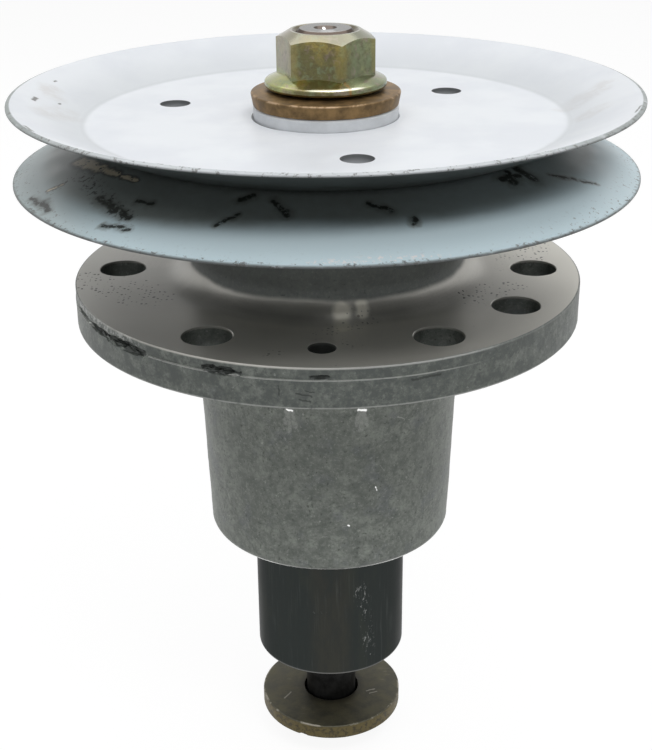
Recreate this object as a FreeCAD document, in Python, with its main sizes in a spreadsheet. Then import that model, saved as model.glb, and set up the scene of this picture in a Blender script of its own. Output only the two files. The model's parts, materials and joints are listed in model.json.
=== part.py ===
"""Mower deck spindle: a cast flange housing with a belt pulley above and a blade seat below.

The origin is the centre of the flange's underside, which sits on the deck.
+Z runs up the spindle's axis, from the blade to the pulley, and +X passes through a bolt hole.
Lengths are in millimetres and angles in degrees.
"""
import FreeCAD, Part
import os
import Sketcher

os.makedirs("parts", exist_ok=True)
doc = FreeCAD.newDocument("deck_spindle")

FULL_TURN = 360
HALF_TURN = 180
FIRST_BALL_ANGLE = 90
HEXAGON_SIDES = 6
# Closeness, in millimetres, at which a circular edge counts as the one asked for
EDGE_MATCH = 1e-4
CUBIC_MM_IN_CM3 = 1000

# Driving sizes
SIZES = {
    # Cast housing
    "flange_diameter": 143.4,
    "flange_thickness": 11.1,
    "flange_edge": 0.6,
    "neck_diameter": 77.0,
    "neck_height": 34.4,
    "neck_fillet": 8.0,
    "neck_edge": 1.0,
    "body_root_diameter": 77.0,
    "body_tip_diameter": 72.2,
    "body_length": 69.0,
    "body_round": 3.0,
    "round_limit": 0.65,
    "root_fillet": 1.5,
    "bolt_circle": 118.0,
    "bolt_hole": 13.1,
    "bolt_count": 6,
    "spare_hole_angle": -30.0,
    "vent_hole": 7.0,
    "vent_hole_angle": -90.0,
    "pocket_edge": 0.8,
    "bevel_limit": 0.25,
    "land_step": 3.6,
    # Ball bearings
    "bearing_bore": 30.0,
    "ball_diameter": 9.525,
    "ball_count": 9,
    "ring_root": 3.2375,
    "ring_shoulder": 4.0,
    "ring_edge": 0.6,
    "ball_play": 0.03,
    "groove_conformity": 0.52,
    "cage_wall": 1.8,
    "cage_bridge": 1.2,
    "cage_play": 0.8375,
    "pocket_play": 0.15,
    "shield_thickness": 0.8,
    "shield_setback": 0.4,
    "shield_bite": 0.8,
    "shield_gap": 0.3,
    # Lip seals
    "seal_room": 7.5,
    "seal_setback": 0.3,
    "seal_wall": 1.2,
    "lip_play": 0.05,
    "lip_root_share": 0.14,
    "lip_heel_share": 0.30,
    "case_hole_share": 0.45,
    "lip_back_share": 0.58,
    "garter_wire": 1.5,
    "garter_play": 0.1,
    # Spindle shaft
    "seat_play": 0.01,
    "boss_diameter": 46.0,
    "boss_reach": 44.8,
    "boss_edge": 0.5,
    "shoulder_height": 1.2,
    "journal_edge": 0.6,
    "seat_step": 2.3,
    "seat_relief": 0.8,
    "thread_diameter": 15.875,
    "thread_edge": 1.0,
    "thread_start": 1.3,
    "thread_proud": 0.4,
    "centre_hole": 5.6,
    "centre_depth": 4.2,
    "tap_depth": 34.0,
    "tap_point": 4.6,
    "tap_play": 0.06,
    "spacer_wall": 3.5,
    # Drive key
    "key_width": 6.35,
    "key_length": 14.0,
    "key_seat": 3.2,
    "key_play": 0.05,
    "keyway_overrun": 3.0,
    # Belt pulley
    "pulley_diameter": 171.45,
    "sheet_thickness": 3.45,
    "rim_edge": 1.3,
    "rim_lip": 1.2,
    "rim_nose": 0.5,
    "rim_round": 0.3,
    "flare_run": 19.7,
    "flare_rise": 7.6,
    "groove_depth": 23.7,
    "bend_radius": 8.0,
    "web_gap": 3.1,
    "web_hole": 8.6,
    "web_hole_circle": 91.8,
    "web_hole_count": 3,
    "web_hole_angle": 41.0,
    "hub_diameter": 39.9,
    "hub_proud": 3.3,
    "hub_edge": 0.5,
    "hub_gap": 0.25,
    "weld_leg": 2.4,
    # Spring disc and flange nut
    "disc_diameter": 41.2,
    "disc_thickness": 3.7,
    "disc_cone": 1.3,
    "disc_taper": 0.7,
    "disc_play": 0.35,
    "nut_across_flats": 23.8125,
    "nut_height": 15.1,
    "nut_flange_diameter": 33.3,
    "nut_flange_edge": 1.9,
    "nut_flange_round": 0.8,
    "nut_skirt": 2.0,
    "nut_mouth": 1.0,
    "nut_crown_inset": 2.25,
    "head_crown_inset": 0.3,
    "crown_angle": 30.0,
    "crown_overrun": 2.0,
    "nut_turn": 50.2,
    # Blade bolt and washer
    "blade_gap": 20.4,
    "washer_diameter": 44.5,
    "washer_thickness": 4.76,
    "washer_hole": 17.46,
    "washer_edge": 0.4,
    "bolt_diameter": 15.875,
    "bolt_engagement": 28.0,
    "bolt_point": 1.2,
    "head_across_flats": 23.8125,
    "head_height": 7.9,
}

# Radii and heights worked out from the driving sizes
PLACES = {
    "on_axis": "0",
    "deck_face": "0",
    # Housing
    "flange_radius": "Size.flange_diameter / 2",
    "neck_radius": "Size.neck_diameter / 2",
    "neck_top": "Size.flange_thickness + Size.neck_height",
    "body_root_radius": "Size.body_root_diameter / 2",
    "body_tip_radius": "Size.body_tip_diameter / 2",
    "body_bottom": "-Size.body_length",
    "bolt_radius": "Size.bolt_hole / 2",
    "bolt_x": "Size.bolt_circle / 2",
    "spare_x": "bolt_x * cos(Size.spare_hole_angle)",
    "spare_y": "bolt_x * sin(Size.spare_hole_angle)",
    "vent_radius": "Size.vent_hole / 2",
    "vent_x": "bolt_x * cos(Size.vent_hole_angle)",
    "vent_y": "bolt_x * sin(Size.vent_hole_angle)",
    # Bearings, about the middle of their own width
    "ring_bore": "Size.bearing_bore / 2",
    "ball_radius": "Size.ball_diameter / 2",
    "pitch_radius": "ring_bore + Size.ring_root + ball_radius",
    "ring_outside": "pitch_radius + ball_radius + Size.ring_root",
    "inner_shoulder": "ring_bore + Size.ring_shoulder",
    "outer_shoulder": "ring_outside - Size.ring_shoulder",
    "groove_radius": "Size.ball_diameter * Size.groove_conformity",
    "inner_groove": "pitch_radius - ball_radius - Size.ball_play + groove_radius",
    "outer_groove": "pitch_radius + ball_radius + Size.ball_play - groove_radius",
    "cage_top": "ball_radius + Size.cage_bridge",
    "cage_bottom": "-cage_top",
    "cage_inside": "pitch_radius - Size.cage_wall / 2",
    "cage_outside": "pitch_radius + Size.cage_wall / 2",
    "cage_reach": "cage_outside + Size.cage_wall",
    "cage_pocket": "ball_radius + Size.pocket_play",
    "shield_inside": "cage_top + Size.cage_play",
    "shield_outside": "shield_inside + Size.shield_thickness",
    "ring_top": "shield_outside + Size.shield_setback",
    "ring_bottom": "-ring_top",
    "bottom_shield_inside": "-shield_inside",
    "bottom_shield_outside": "-shield_outside",
    "shield_seat": "outer_shoulder + Size.shield_bite",
    "shield_edge": "shield_seat - Size.seat_play",
    "shield_hole": "inner_shoulder + Size.shield_gap",
    "bearing_width": "2 * ring_top",
    # Bearing pockets of the housing
    "pocket_radius": "ring_outside + Size.seat_play",
    "land_radius": "pocket_radius - Size.land_step",
    # Edges at the pocket mouths, held within the walls there
    "tip_wall": "body_tip_radius - pocket_radius",
    "neck_wall": "neck_radius - pocket_radius",
    "tip_round": "min(Size.body_round; Size.round_limit * tip_wall)",
    "mouth_bevel": "min(Size.pocket_edge; Size.bevel_limit * min(tip_wall; neck_wall))",
    "rim_bevel": "min(Size.neck_edge; Size.bevel_limit * neck_wall)",
    "upper_land": "neck_top - Size.seal_room - bearing_width",
    "lower_land": "body_bottom + Size.seal_room + bearing_width",
    "upper_bearing_middle": "upper_land + ring_top",
    "lower_bearing_middle": "lower_land - ring_top",
    # Seals, down from their outside face
    "upper_seal_face": "neck_top - Size.seal_setback",
    "lower_seal_face": "body_bottom + Size.seal_setback",
    "case_back": "2 * Size.seal_setback - Size.seal_room",
    "case_floor": "-Size.seal_wall",
    "case_inside": "ring_outside - Size.seal_wall",
    "lip_waist": "-2 * Size.seal_wall",
    "lip_end": "case_back + Size.seal_setback",
    "lip_edge_height": "(lip_waist + lip_end) / 2",
    "garter_wire_radius": "Size.garter_wire / 2",
    "upper_garter_height": "upper_seal_face + lip_edge_height",
    "lower_garter_height": "lower_seal_face - lip_edge_height",
    # Shaft and spacer
    "journal_radius": "ring_bore - Size.seat_play",
    "seat_radius": "journal_radius - Size.seat_step",
    "thread_radius": "Size.thread_diameter / 2",
    "boss_radius": "Size.boss_diameter / 2",
    "shoulder_top": "lower_land - bearing_width",
    "boss_top": "shoulder_top - Size.shoulder_height",
    "boss_bottom": "body_bottom - Size.boss_reach",
    "tap_radius": "Size.bolt_diameter / 2 + Size.tap_play",
    "tap_top": "boss_bottom + Size.tap_depth",
    "tap_tip": "tap_top + Size.tap_point",
    "journal_top": "hub_bottom - Size.seat_relief",
    "seat_top": "hub_top - Size.thread_start",
    "shaft_top": "nut_bottom + Size.nut_height + Size.thread_proud",
    "centre_radius": "Size.centre_hole / 2",
    "centre_tip": "shaft_top - Size.centre_depth",
    "spacer_bore": "ring_bore + Size.seat_play",
    "spacer_radius": "spacer_bore + Size.spacer_wall",
    # Pulley
    "hub_bottom": "neck_top - Size.seal_room",
    "web_bottom": "neck_top + Size.web_gap",
    "belt_middle": "web_bottom + Size.sheet_thickness",
    "web_top": "belt_middle + Size.sheet_thickness",
    "hub_top": "web_top + Size.hub_proud",
    "hub_radius": "Size.hub_diameter / 2",
    "hub_bore": "seat_radius + Size.seat_play",
    "web_bore": "hub_radius + Size.hub_gap",
    "weld_radius": "hub_radius + Size.weld_leg",
    "weld_bottom": "web_bottom - Size.weld_leg",
    "pulley_radius": "Size.pulley_diameter / 2",
    "flare_root": "pulley_radius - Size.flare_run",
    "groove_root": "pulley_radius - Size.groove_depth",
    "rim_top": "Size.sheet_thickness + Size.flare_rise",
    "rim_corner": "rim_top - Size.rim_edge",
    "lip_radius": "pulley_radius - Size.rim_lip",
    "nose_top": "rim_top - (Size.rim_edge - Size.rim_nose) / 2",
    "nose_bottom": "nose_top - Size.rim_nose",
    "web_hole_radius": "Size.web_hole / 2",
    "web_hole_x": "Size.web_hole_circle / 2 * cos(Size.web_hole_angle)",
    "web_hole_y": "Size.web_hole_circle / 2 * sin(Size.web_hole_angle)",
    "under_web_hole_y": "-web_hole_y",
    # Key, standing in its seat on the +X side of the shaft
    "key_inside": "seat_radius - Size.key_seat",
    "key_side": "-Size.key_width / 2",
    "keyway_width": "Size.key_width + 2 * Size.key_play",
    "keyway_floor": "key_inside - Size.key_play",
    "keyway_roof": "key_inside + Size.key_width + Size.key_play",
    "key_top": "seat_top - Size.thread_edge",
    "key_bottom": "key_top - Size.key_length",
    "keyway_bottom": "key_bottom - Size.key_play",
    "below_hub": "hub_bottom - Size.keyway_overrun",
    "above_hub": "hub_top + Size.keyway_overrun",
    # Spring disc and nut
    "disc_radius": "Size.disc_diameter / 2",
    "disc_foot": "disc_radius - Size.disc_taper",
    "disc_bore": "thread_radius + Size.disc_play",
    "disc_rim": "hub_top + Size.disc_thickness",
    "nut_bottom": "disc_rim + Size.disc_cone",
    "disc_arch": "nut_bottom - Size.disc_thickness",
    "nut_bore": "thread_radius + Size.tap_play",
    "nut_flat": "Size.nut_across_flats / 2",
    "nut_corner": "Size.nut_across_flats / sqrt(3)",
    "nut_crown_radius": "nut_flat - Size.nut_crown_inset",
    "nut_clear": "nut_corner + Size.crown_overrun",
    "nut_crown_foot": "Size.nut_height - (nut_clear - nut_crown_radius) * tan(Size.crown_angle)",
    "nut_flange_radius": "Size.nut_flange_diameter / 2",
    "nut_skirt_top": "Size.nut_flange_edge + Size.nut_skirt",
    # Blade bolt and washer
    "washer_top": "boss_bottom - Size.blade_gap",
    "washer_bottom": "washer_top - Size.washer_thickness",
    "washer_radius": "Size.washer_diameter / 2",
    "washer_bore": "Size.washer_hole / 2",
    "shank_radius": "Size.bolt_diameter / 2",
    "shank_length": "Size.washer_thickness + Size.blade_gap + Size.bolt_engagement",
    "head_flat": "Size.head_across_flats / 2",
    "head_corner": "Size.head_across_flats / sqrt(3)",
    "head_bottom": "-Size.head_height",
    "head_crown_radius": "head_flat - Size.head_crown_inset",
    "head_clear": "head_corner + Size.crown_overrun",
    "head_crown_top": "head_bottom + (head_clear - head_crown_radius) * tan(Size.crown_angle)",
}

# Each seal's lip spans the room between the turning surface and the case
for end, running_surface in (("upper", "hub_radius"), ("lower", "boss_radius")):
    PLACES[f"{end}_lip_room"] = f"ring_outside - {running_surface}"
    PLACES[f"{end}_lip_edge"] = f"{running_surface} + Size.lip_play"
    for share in ("lip_root", "lip_heel", "case_hole", "lip_back"):
        PLACES[f"{end}_{share}"] = f"{running_surface} + Size.{share}_share * {end}_lip_room"
    PLACES[f"{end}_garter_radius"] = f"{end}_lip_heel + garter_wire_radius + Size.garter_play"


def fill_sheet(sheet, cells, mark):
    """Write one aliased cell a row: a plain number, or a formula where mark is an equals sign."""
    for row, (alias, content) in enumerate(cells.items(), 1):
        sheet.set(f"A{row}", alias)
        sheet.set(f"B{row}", f"{mark}{content}")
        sheet.setAlias(f"B{row}", alias)


size_sheet = doc.addObject("Spreadsheet::Sheet", "Size")
fill_sheet(size_sheet, SIZES, "")
place_sheet = doc.addObject("Spreadsheet::Sheet", "Place")
fill_sheet(place_sheet, PLACES, "=")
doc.recompute()

nodes = []


def cell(alias):
    """The expression that names a sheet's cell."""
    return f"Place.{alias}" if alias in PLACES else f"Size.{alias}"


def amount(alias):
    """The number that a sheet's cell holds now."""
    return float(place_sheet.get(alias) if alias in PLACES else size_sheet.get(alias))


def bind(item, target, alias):
    """Tie a property or constraint to a sheet's cell."""
    item.setExpression(target, cell(alias))


def as_node(item, label):
    """Name a finished piece and keep it for writing."""
    item.Label = label
    nodes.append(item)
    return item


def new_body(label, height="deck_face"):
    """An empty body whose own origin stands at a height on the spindle's axis."""
    body = as_node(doc.addObject("PartDesign::Body", label), label)
    bind(body, "Placement.Base.z", height)
    return body


def upside_down(body):
    """Turn a body over, about the X axis."""
    body.Placement.Rotation = FreeCAD.Rotation(FreeCAD.Vector(1, 0, 0), HALF_TURN)


def origin_part(body, role):
    """One of a body's own origin planes or axes."""
    return next(part for part in body.Origin.OriginFeatures if part.Role == role)


def new_sketch(body, name, role):
    """An empty sketch on one of the body's own origin planes."""
    sketch = body.newObject("Sketcher::SketchObject", name)
    sketch.AttachmentSupport = [(origin_part(body, role), "")]
    sketch.MapMode = "FlatFace"
    return sketch


def place_point(sketch, geometry, point, across, up, name):
    """Hold a sketch point at two distances from the origin, each a sheet's cell."""
    for axis, alias in (("DistanceX", across), ("DistanceY", up)):
        rule = Sketcher.Constraint(axis, -1, 1, geometry, point, amount(alias))
        label = f"{name}_{axis}"
        sketch.renameConstraint(sketch.addConstraint(rule), label)
        bind(sketch, f"Constraints.{label}", alias)


def outline_sketch(body, name, corners, role="XZ_Plane"):
    """A closed outline whose corners are pairs of cells: radius and height on the XZ plane."""
    sketch = new_sketch(body, name, role)
    points = [FreeCAD.Vector(amount(across), amount(up), 0) for across, up in corners]
    following = points[1:] + points[:1]
    for start, end in zip(points, following):
        sketch.addGeometry(Part.LineSegment(start, end), False)
    for index, (across, up) in enumerate(corners):
        after = (index + 1) % len(corners)
        sketch.addConstraint(Sketcher.Constraint("Coincident", index, 2, after, 1))
        place_point(sketch, index, 1, across, up, f"corner{index}")
    return sketch


def circle_sketch(body, name, radius, across, up, role="XY_Plane"):
    """One circle, its radius and centre tied to cells."""
    sketch = new_sketch(body, name, role)
    centre = FreeCAD.Vector(amount(across), amount(up), 0)
    upright = FreeCAD.Vector(0, 0, 1)
    sketch.addGeometry(Part.Circle(centre, upright, amount(radius)), False)
    rule = Sketcher.Constraint("Radius", 0, amount(radius))
    sketch.renameConstraint(sketch.addConstraint(rule), "radius")
    bind(sketch, "Constraints.radius", radius)
    place_point(sketch, 0, 3, across, up, "centre")
    return sketch


def turn_about_axis(body, kind, name, sketch):
    """Revolve a sketch on the XZ plane round the spindle's axis, adding or cutting."""
    feature = body.newObject(kind, name)
    feature.Profile = sketch
    feature.ReferenceAxis = (sketch, ["V_Axis"])
    feature.Angle = FULL_TURN
    doc.recompute()
    return feature


def turned(body, name, corners):
    """Add the solid of revolution of an outline."""
    sketch = outline_sketch(body, f"{name}_outline", corners)
    return turn_about_axis(body, "PartDesign::Revolution", name, sketch)


def turned_cut(body, name, sketch):
    """Cut a solid of revolution out of the body, and confirm that it took metal away."""
    before = body.Tip.Shape.Volume
    feature = turn_about_axis(body, "PartDesign::Groove", name, sketch)
    confirm_cut(feature, before)
    return feature


def confirm_cut(feature, before):
    """Stop if a cut left the volume as it was."""
    if feature.Shape.Volume >= before:
        raise RuntimeError(f"{feature.Name} cuts nothing")


def drilled(body, name, radius, across, up):
    """Drill a hole parallel with the spindle's axis, right through the body."""
    before = body.Tip.Shape.Volume
    hole = body.newObject("PartDesign::Pocket", name)
    hole.Profile = circle_sketch(body, f"{name}_circle", radius, across, up)
    hole.Type = "ThroughAll"
    hole.Midplane = True
    doc.recompute()
    confirm_cut(hole, before)
    return hole


def repeated(body, name, feature, count):
    """Repeat a feature evenly round the spindle's axis."""
    pattern = body.newObject("PartDesign::PolarPattern", name)
    pattern.Originals = [feature]
    pattern.Axis = (origin_part(body, "Z_Axis"), [""])
    pattern.Angle = FULL_TURN
    pattern.Occurrences = int(amount(count))
    bind(pattern, "Occurrences", count)
    body.Tip = pattern
    doc.recompute()
    return pattern


def ring_edges(feature, rings):
    """Names of the circular edges at the given pairs of radius and height cells."""
    wanted = [(amount(radius), amount(height)) for radius, height in rings]
    names = []
    for number, edge in enumerate(feature.Shape.Edges, 1):
        curve = edge.Curve
        if not isinstance(curve, Part.Circle):
            continue
        for radius, height in wanted:
            near = max(abs(curve.Radius - radius), abs(curve.Center.z - height))
            if near < EDGE_MATCH:
                names.append(f"Edge{number}")
    if len(names) < len(rings):
        raise RuntimeError(f"{feature.Name} lacks an edge to finish")
    return names


def dressed(body, kind, name, rings, target, alias):
    """Round or bevel circular edges of the body's last feature by the size in a cell."""
    base = body.Tip
    feature = body.newObject(kind, name)
    feature.Base = (base, ring_edges(base, rings))
    bind(feature, target, alias)
    doc.recompute()
    return feature


def rounded(body, name, rings, alias):
    """Fillet circular edges."""
    return dressed(body, "PartDesign::Fillet", name, rings, "Radius", alias)


def bevelled(body, name, rings, alias):
    """Chamfer circular edges."""
    return dressed(body, "PartDesign::Chamfer", name, rings, "Size", alias)


def hexagon(body, name, corner):
    """A regular hexagon with one corner on the sketch's X axis."""
    sketch = new_sketch(body, name, "XY_Plane")
    reach = FreeCAD.Vector(amount(corner), 0, 0)
    upright = FreeCAD.Vector(0, 0, 1)
    turns = [FULL_TURN / HEXAGON_SIDES * step for step in range(HEXAGON_SIDES)]
    corners = [FreeCAD.Rotation(upright, turn).multVec(reach) for turn in turns]
    for start, end in zip(corners, corners[1:] + corners[:1]):
        sketch.addGeometry(Part.LineSegment(start, end), False)
    ring = sketch.addGeometry(Part.Circle(FreeCAD.Vector(), upright, amount(corner)), True)
    sketch.addConstraint(Sketcher.Constraint("Coincident", ring, 3, -1, 1))
    for side in range(HEXAGON_SIDES):
        after = (side + 1) % HEXAGON_SIDES
        sketch.addConstraint(Sketcher.Constraint("Coincident", side, 2, after, 1))
        sketch.addConstraint(Sketcher.Constraint("PointOnObject", side, 1, ring))
    for side in range(1, HEXAGON_SIDES):
        sketch.addConstraint(Sketcher.Constraint("Equal", 0, side))
    sketch.addConstraint(Sketcher.Constraint("PointOnObject", 0, 1, -1))
    rule = Sketcher.Constraint("Radius", ring, amount(corner))
    sketch.renameConstraint(sketch.addConstraint(rule), "corner")
    bind(sketch, "Constraints.corner", corner)
    return sketch


def hex_prism(body, name, corner, length, downward):
    """Pad a hexagon up or down from the body's XY plane."""
    prism = body.newObject("PartDesign::Pad", name)
    prism.Profile = hexagon(body, f"{name}_hexagon", corner)
    prism.Reversed = downward
    bind(prism, "Length", length)
    doc.recompute()
    return prism


# Cast housing: flange, neck and body on one axis, with a bearing pocket at each end
def make_housing():
    body = new_body("housing")
    turned(body, "casting", [
        ("land_radius", "lower_land"),
        ("pocket_radius", "lower_land"),
        ("pocket_radius", "body_bottom"),
        ("body_tip_radius", "body_bottom"),
        ("body_root_radius", "deck_face"),
        ("flange_radius", "deck_face"),
        ("flange_radius", "flange_thickness"),
        ("neck_radius", "flange_thickness"),
        ("neck_radius", "neck_top"),
        ("pocket_radius", "neck_top"),
        ("pocket_radius", "upper_land"),
        ("land_radius", "upper_land"),
    ])
    rounded(body, "neck_sweep", [("neck_radius", "flange_thickness")], "neck_fillet")
    rounded(body, "body_root", [("body_root_radius", "deck_face")], "root_fillet")
    rounded(body, "body_tip", [("body_tip_radius", "body_bottom")], "tip_round")
    bevelled(body, "flange_rims", [
        ("flange_radius", "flange_thickness"),
        ("flange_radius", "deck_face"),
    ], "flange_edge")
    bevelled(body, "neck_rim", [("neck_radius", "neck_top")], "rim_bevel")
    bevelled(body, "pocket_mouths", [
        ("pocket_radius", "neck_top"),
        ("pocket_radius", "body_bottom"),
    ], "mouth_bevel")
    bolt_hole = drilled(body, "deck_bolt_hole", "bolt_radius", "bolt_x", "on_axis")
    repeated(body, "deck_bolt_holes", bolt_hole, "bolt_count")
    drilled(body, "spare_bolt_hole", "bolt_radius", "spare_x", "spare_y")
    drilled(body, "vent_passage", "vent_radius", "vent_x", "vent_y")


# Deep-groove ball bearing, modelled about the middle of its width
def make_bearing(end, middle):
    inner = new_body(f"{end}_bearing_inner_ring", middle)
    turned(inner, "inner_ring", [
        ("ring_bore", "ring_bottom"),
        ("inner_shoulder", "ring_bottom"),
        ("inner_shoulder", "ring_top"),
        ("ring_bore", "ring_top"),
    ])
    raceway = circle_sketch(inner, "inner_race", "groove_radius", "inner_groove", "on_axis", "XZ_Plane")
    turned_cut(inner, "inner_raceway", raceway)
    bevelled(inner, "inner_corners", [
        ("ring_bore", "ring_bottom"),
        ("ring_bore", "ring_top"),
    ], "ring_edge")

    outer = new_body(f"{end}_bearing_outer_ring", middle)
    turned(outer, "outer_ring", [
        ("ring_outside", "ring_bottom"),
        ("ring_outside", "ring_top"),
        ("shield_seat", "ring_top"),
        ("shield_seat", "shield_inside"),
        ("outer_shoulder", "shield_inside"),
        ("outer_shoulder", "bottom_shield_inside"),
        ("shield_seat", "bottom_shield_inside"),
        ("shield_seat", "ring_bottom"),
    ])
    raceway = circle_sketch(outer, "outer_race", "groove_radius", "outer_groove", "on_axis", "XZ_Plane")
    turned_cut(outer, "outer_raceway", raceway)
    bevelled(outer, "outer_corners", [
        ("ring_outside", "ring_bottom"),
        ("ring_outside", "ring_top"),
    ], "ring_edge")

    make_cage(f"{end}_bearing_cage", middle)
    make_balls(end, middle)
    make_shield(f"{end}_bearing_top_shield", middle, "shield_inside", "shield_outside")
    make_shield(f"{end}_bearing_bottom_shield", middle, "bottom_shield_outside", "bottom_shield_inside")


# Band with a round window for each ball, the first one on the +Y side
def make_cage(label, middle):
    body = new_body(label, middle)
    turned(body, "cage_band", [
        ("cage_inside", "cage_bottom"),
        ("cage_outside", "cage_bottom"),
        ("cage_outside", "cage_top"),
        ("cage_inside", "cage_top"),
    ])
    before = body.Tip.Shape.Volume
    window = body.newObject("PartDesign::Pocket", "ball_window")
    window.Profile = circle_sketch(body, "window_circle", "cage_pocket", "on_axis", "on_axis", "XZ_Plane")
    bind(window, "Length", "cage_reach")
    doc.recompute()
    confirm_cut(window, before)
    repeated(body, "ball_windows", window, "ball_count")


# Balls of one bearing, each in its cage window
def make_balls(end, middle):
    balls = []
    for number in range(int(amount("ball_count"))):
        ball = doc.addObject("Part::Sphere", f"{end}_ball_{number}")
        bind(ball, "Radius", "ball_radius")
        angle = f"({FIRST_BALL_ANGLE} + {FULL_TURN} * {number} / {cell('ball_count')})"
        ball.setExpression("Placement.Base.x", f"{cell('pitch_radius')} * cos{angle}")
        ball.setExpression("Placement.Base.y", f"{cell('pitch_radius')} * sin{angle}")
        bind(ball, "Placement.Base.z", middle)
        balls.append(ball)
    group = doc.addObject("Part::Compound", f"{end}_ball_group")
    group.Links = balls
    as_node(group, f"{end}_bearing_balls")


# Pressed shield in the outer ring's recess
def make_shield(label, middle, low, high):
    body = new_body(label, middle)
    turned(body, "shield", [
        ("shield_hole", low),
        ("shield_edge", low),
        ("shield_edge", high),
        ("shield_hole", high),
    ])


# Lip seal in a pocket's mouth: steel case, bonded rubber lip and garter spring
def make_seal(end):
    case = new_body(f"{end}_seal_case", f"{end}_seal_face")
    turned(case, "case", [
        (f"{end}_case_hole", "on_axis"),
        ("ring_outside", "on_axis"),
        ("ring_outside", "case_back"),
        ("case_inside", "case_back"),
        ("case_inside", "case_floor"),
        (f"{end}_case_hole", "case_floor"),
    ])
    lip = new_body(f"{end}_seal_lip", f"{end}_seal_face")
    turned(lip, "lip", [
        (f"{end}_lip_root", "on_axis"),
        (f"{end}_case_hole", "on_axis"),
        (f"{end}_case_hole", "case_floor"),
        (f"{end}_lip_back", "case_floor"),
        (f"{end}_lip_back", "lip_waist"),
        (f"{end}_lip_heel", "lip_waist"),
        (f"{end}_lip_heel", "lip_end"),
        (f"{end}_lip_edge", "lip_edge_height"),
        (f"{end}_lip_root", "lip_waist"),
    ])
    if end == "lower":
        upside_down(case)
        upside_down(lip)
    garter = as_node(doc.addObject("Part::Torus", f"{end}_garter"), f"{end}_seal_spring")
    bind(garter, "Radius1", f"{end}_garter_radius")
    bind(garter, "Radius2", "garter_wire_radius")
    bind(garter, "Placement.Base.z", f"{end}_garter_height")


# Turned shaft: blade boss, bearing journal, pulley seat and threaded top end
def make_shaft():
    body = new_body("spindle_shaft")
    turned(body, "shaft", [
        ("on_axis", "tap_tip"),
        ("tap_radius", "tap_top"),
        ("tap_radius", "boss_bottom"),
        ("boss_radius", "boss_bottom"),
        ("boss_radius", "boss_top"),
        ("inner_shoulder", "boss_top"),
        ("inner_shoulder", "shoulder_top"),
        ("journal_radius", "shoulder_top"),
        ("journal_radius", "journal_top"),
        ("seat_radius", "journal_top"),
        ("seat_radius", "seat_top"),
        ("thread_radius", "seat_top"),
        ("thread_radius", "shaft_top"),
        ("centre_radius", "shaft_top"),
        ("on_axis", "centre_tip"),
    ])
    bevelled(body, "boss_rims", [
        ("boss_radius", "boss_bottom"),
        ("boss_radius", "boss_top"),
        ("tap_radius", "boss_bottom"),
    ], "boss_edge")
    bevelled(body, "journal_rims", [
        ("journal_radius", "journal_top"),
        ("seat_radius", "seat_top"),
    ], "journal_edge")
    bevelled(body, "thread_point", [("thread_radius", "shaft_top")], "thread_edge")
    key_slot(body, "key_seat_slot", [
        ("keyway_floor", "keyway_bottom"),
        ("keyway_roof", "keyway_bottom"),
        ("keyway_roof", "hub_top"),
        ("keyway_floor", "hub_top"),
    ])


# Slot for the key, cut as wide as the key and its play on both sides of the XZ plane
def key_slot(body, name, corners):
    before = body.Tip.Shape.Volume
    slot = body.newObject("PartDesign::Pocket", name)
    slot.Profile = outline_sketch(body, f"{name}_outline", corners)
    slot.Midplane = True
    bind(slot, "Length", "keyway_width")
    doc.recompute()
    confirm_cut(slot, before)


# Square key that drives the pulley
def make_key():
    key = as_node(doc.addObject("Part::Box", "key"), "drive_key")
    bind(key, "Length", "key_width")
    bind(key, "Width", "key_width")
    bind(key, "Height", "key_length")
    bind(key, "Placement.Base.x", "key_inside")
    bind(key, "Placement.Base.y", "key_side")
    bind(key, "Placement.Base.z", "key_bottom")


# Tube that keeps the bearings' inner rings apart
def make_spacer():
    body = new_body("bearing_spacer")
    turned(body, "spacer", [
        ("spacer_bore", "lower_land"),
        ("spacer_radius", "lower_land"),
        ("spacer_radius", "upper_land"),
        ("spacer_bore", "upper_land"),
    ])


# One half of the sheave, up from the belt's middle plane: flat web and flared rim with a blunt nose
def make_sheave(label, hole_y):
    body = new_body(label, "belt_middle")
    turned(body, "dish", [
        ("web_bore", "on_axis"),
        ("groove_root", "on_axis"),
        ("lip_radius", "rim_corner"),
        ("pulley_radius", "nose_bottom"),
        ("pulley_radius", "nose_top"),
        ("lip_radius", "rim_top"),
        ("flare_root", "sheet_thickness"),
        ("web_bore", "sheet_thickness"),
    ])
    rounded(body, "bends", [
        ("groove_root", "on_axis"),
        ("flare_root", "sheet_thickness"),
    ], "bend_radius")
    rounded(body, "rim_corners", [
        ("lip_radius", "rim_corner"),
        ("pulley_radius", "nose_bottom"),
        ("pulley_radius", "nose_top"),
        ("lip_radius", "rim_top"),
    ], "rim_round")
    hole = drilled(body, "web_hole", "web_hole_radius", "web_hole_x", hole_y)
    repeated(body, "web_holes", hole, "web_hole_count")
    return body


# Hub that carries the sheave on the shaft, and the bead that joins it to the web
def make_hub():
    body = new_body("pulley_hub")
    turned(body, "hub", [
        ("hub_bore", "hub_bottom"),
        ("hub_radius", "hub_bottom"),
        ("hub_radius", "hub_top"),
        ("hub_bore", "hub_top"),
    ])
    bevelled(body, "hub_rims", [
        ("hub_radius", "hub_bottom"),
        ("hub_radius", "hub_top"),
        ("hub_bore", "hub_bottom"),
        ("hub_bore", "hub_top"),
    ], "hub_edge")
    key_slot(body, "hub_keyway", [
        ("keyway_floor", "below_hub"),
        ("keyway_roof", "below_hub"),
        ("keyway_roof", "above_hub"),
        ("keyway_floor", "above_hub"),
    ])
    weld = new_body("hub_weld")
    turned(weld, "weld", [
        ("hub_radius", "web_bottom"),
        ("hub_radius", "weld_bottom"),
        ("weld_radius", "web_bottom"),
    ])


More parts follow.
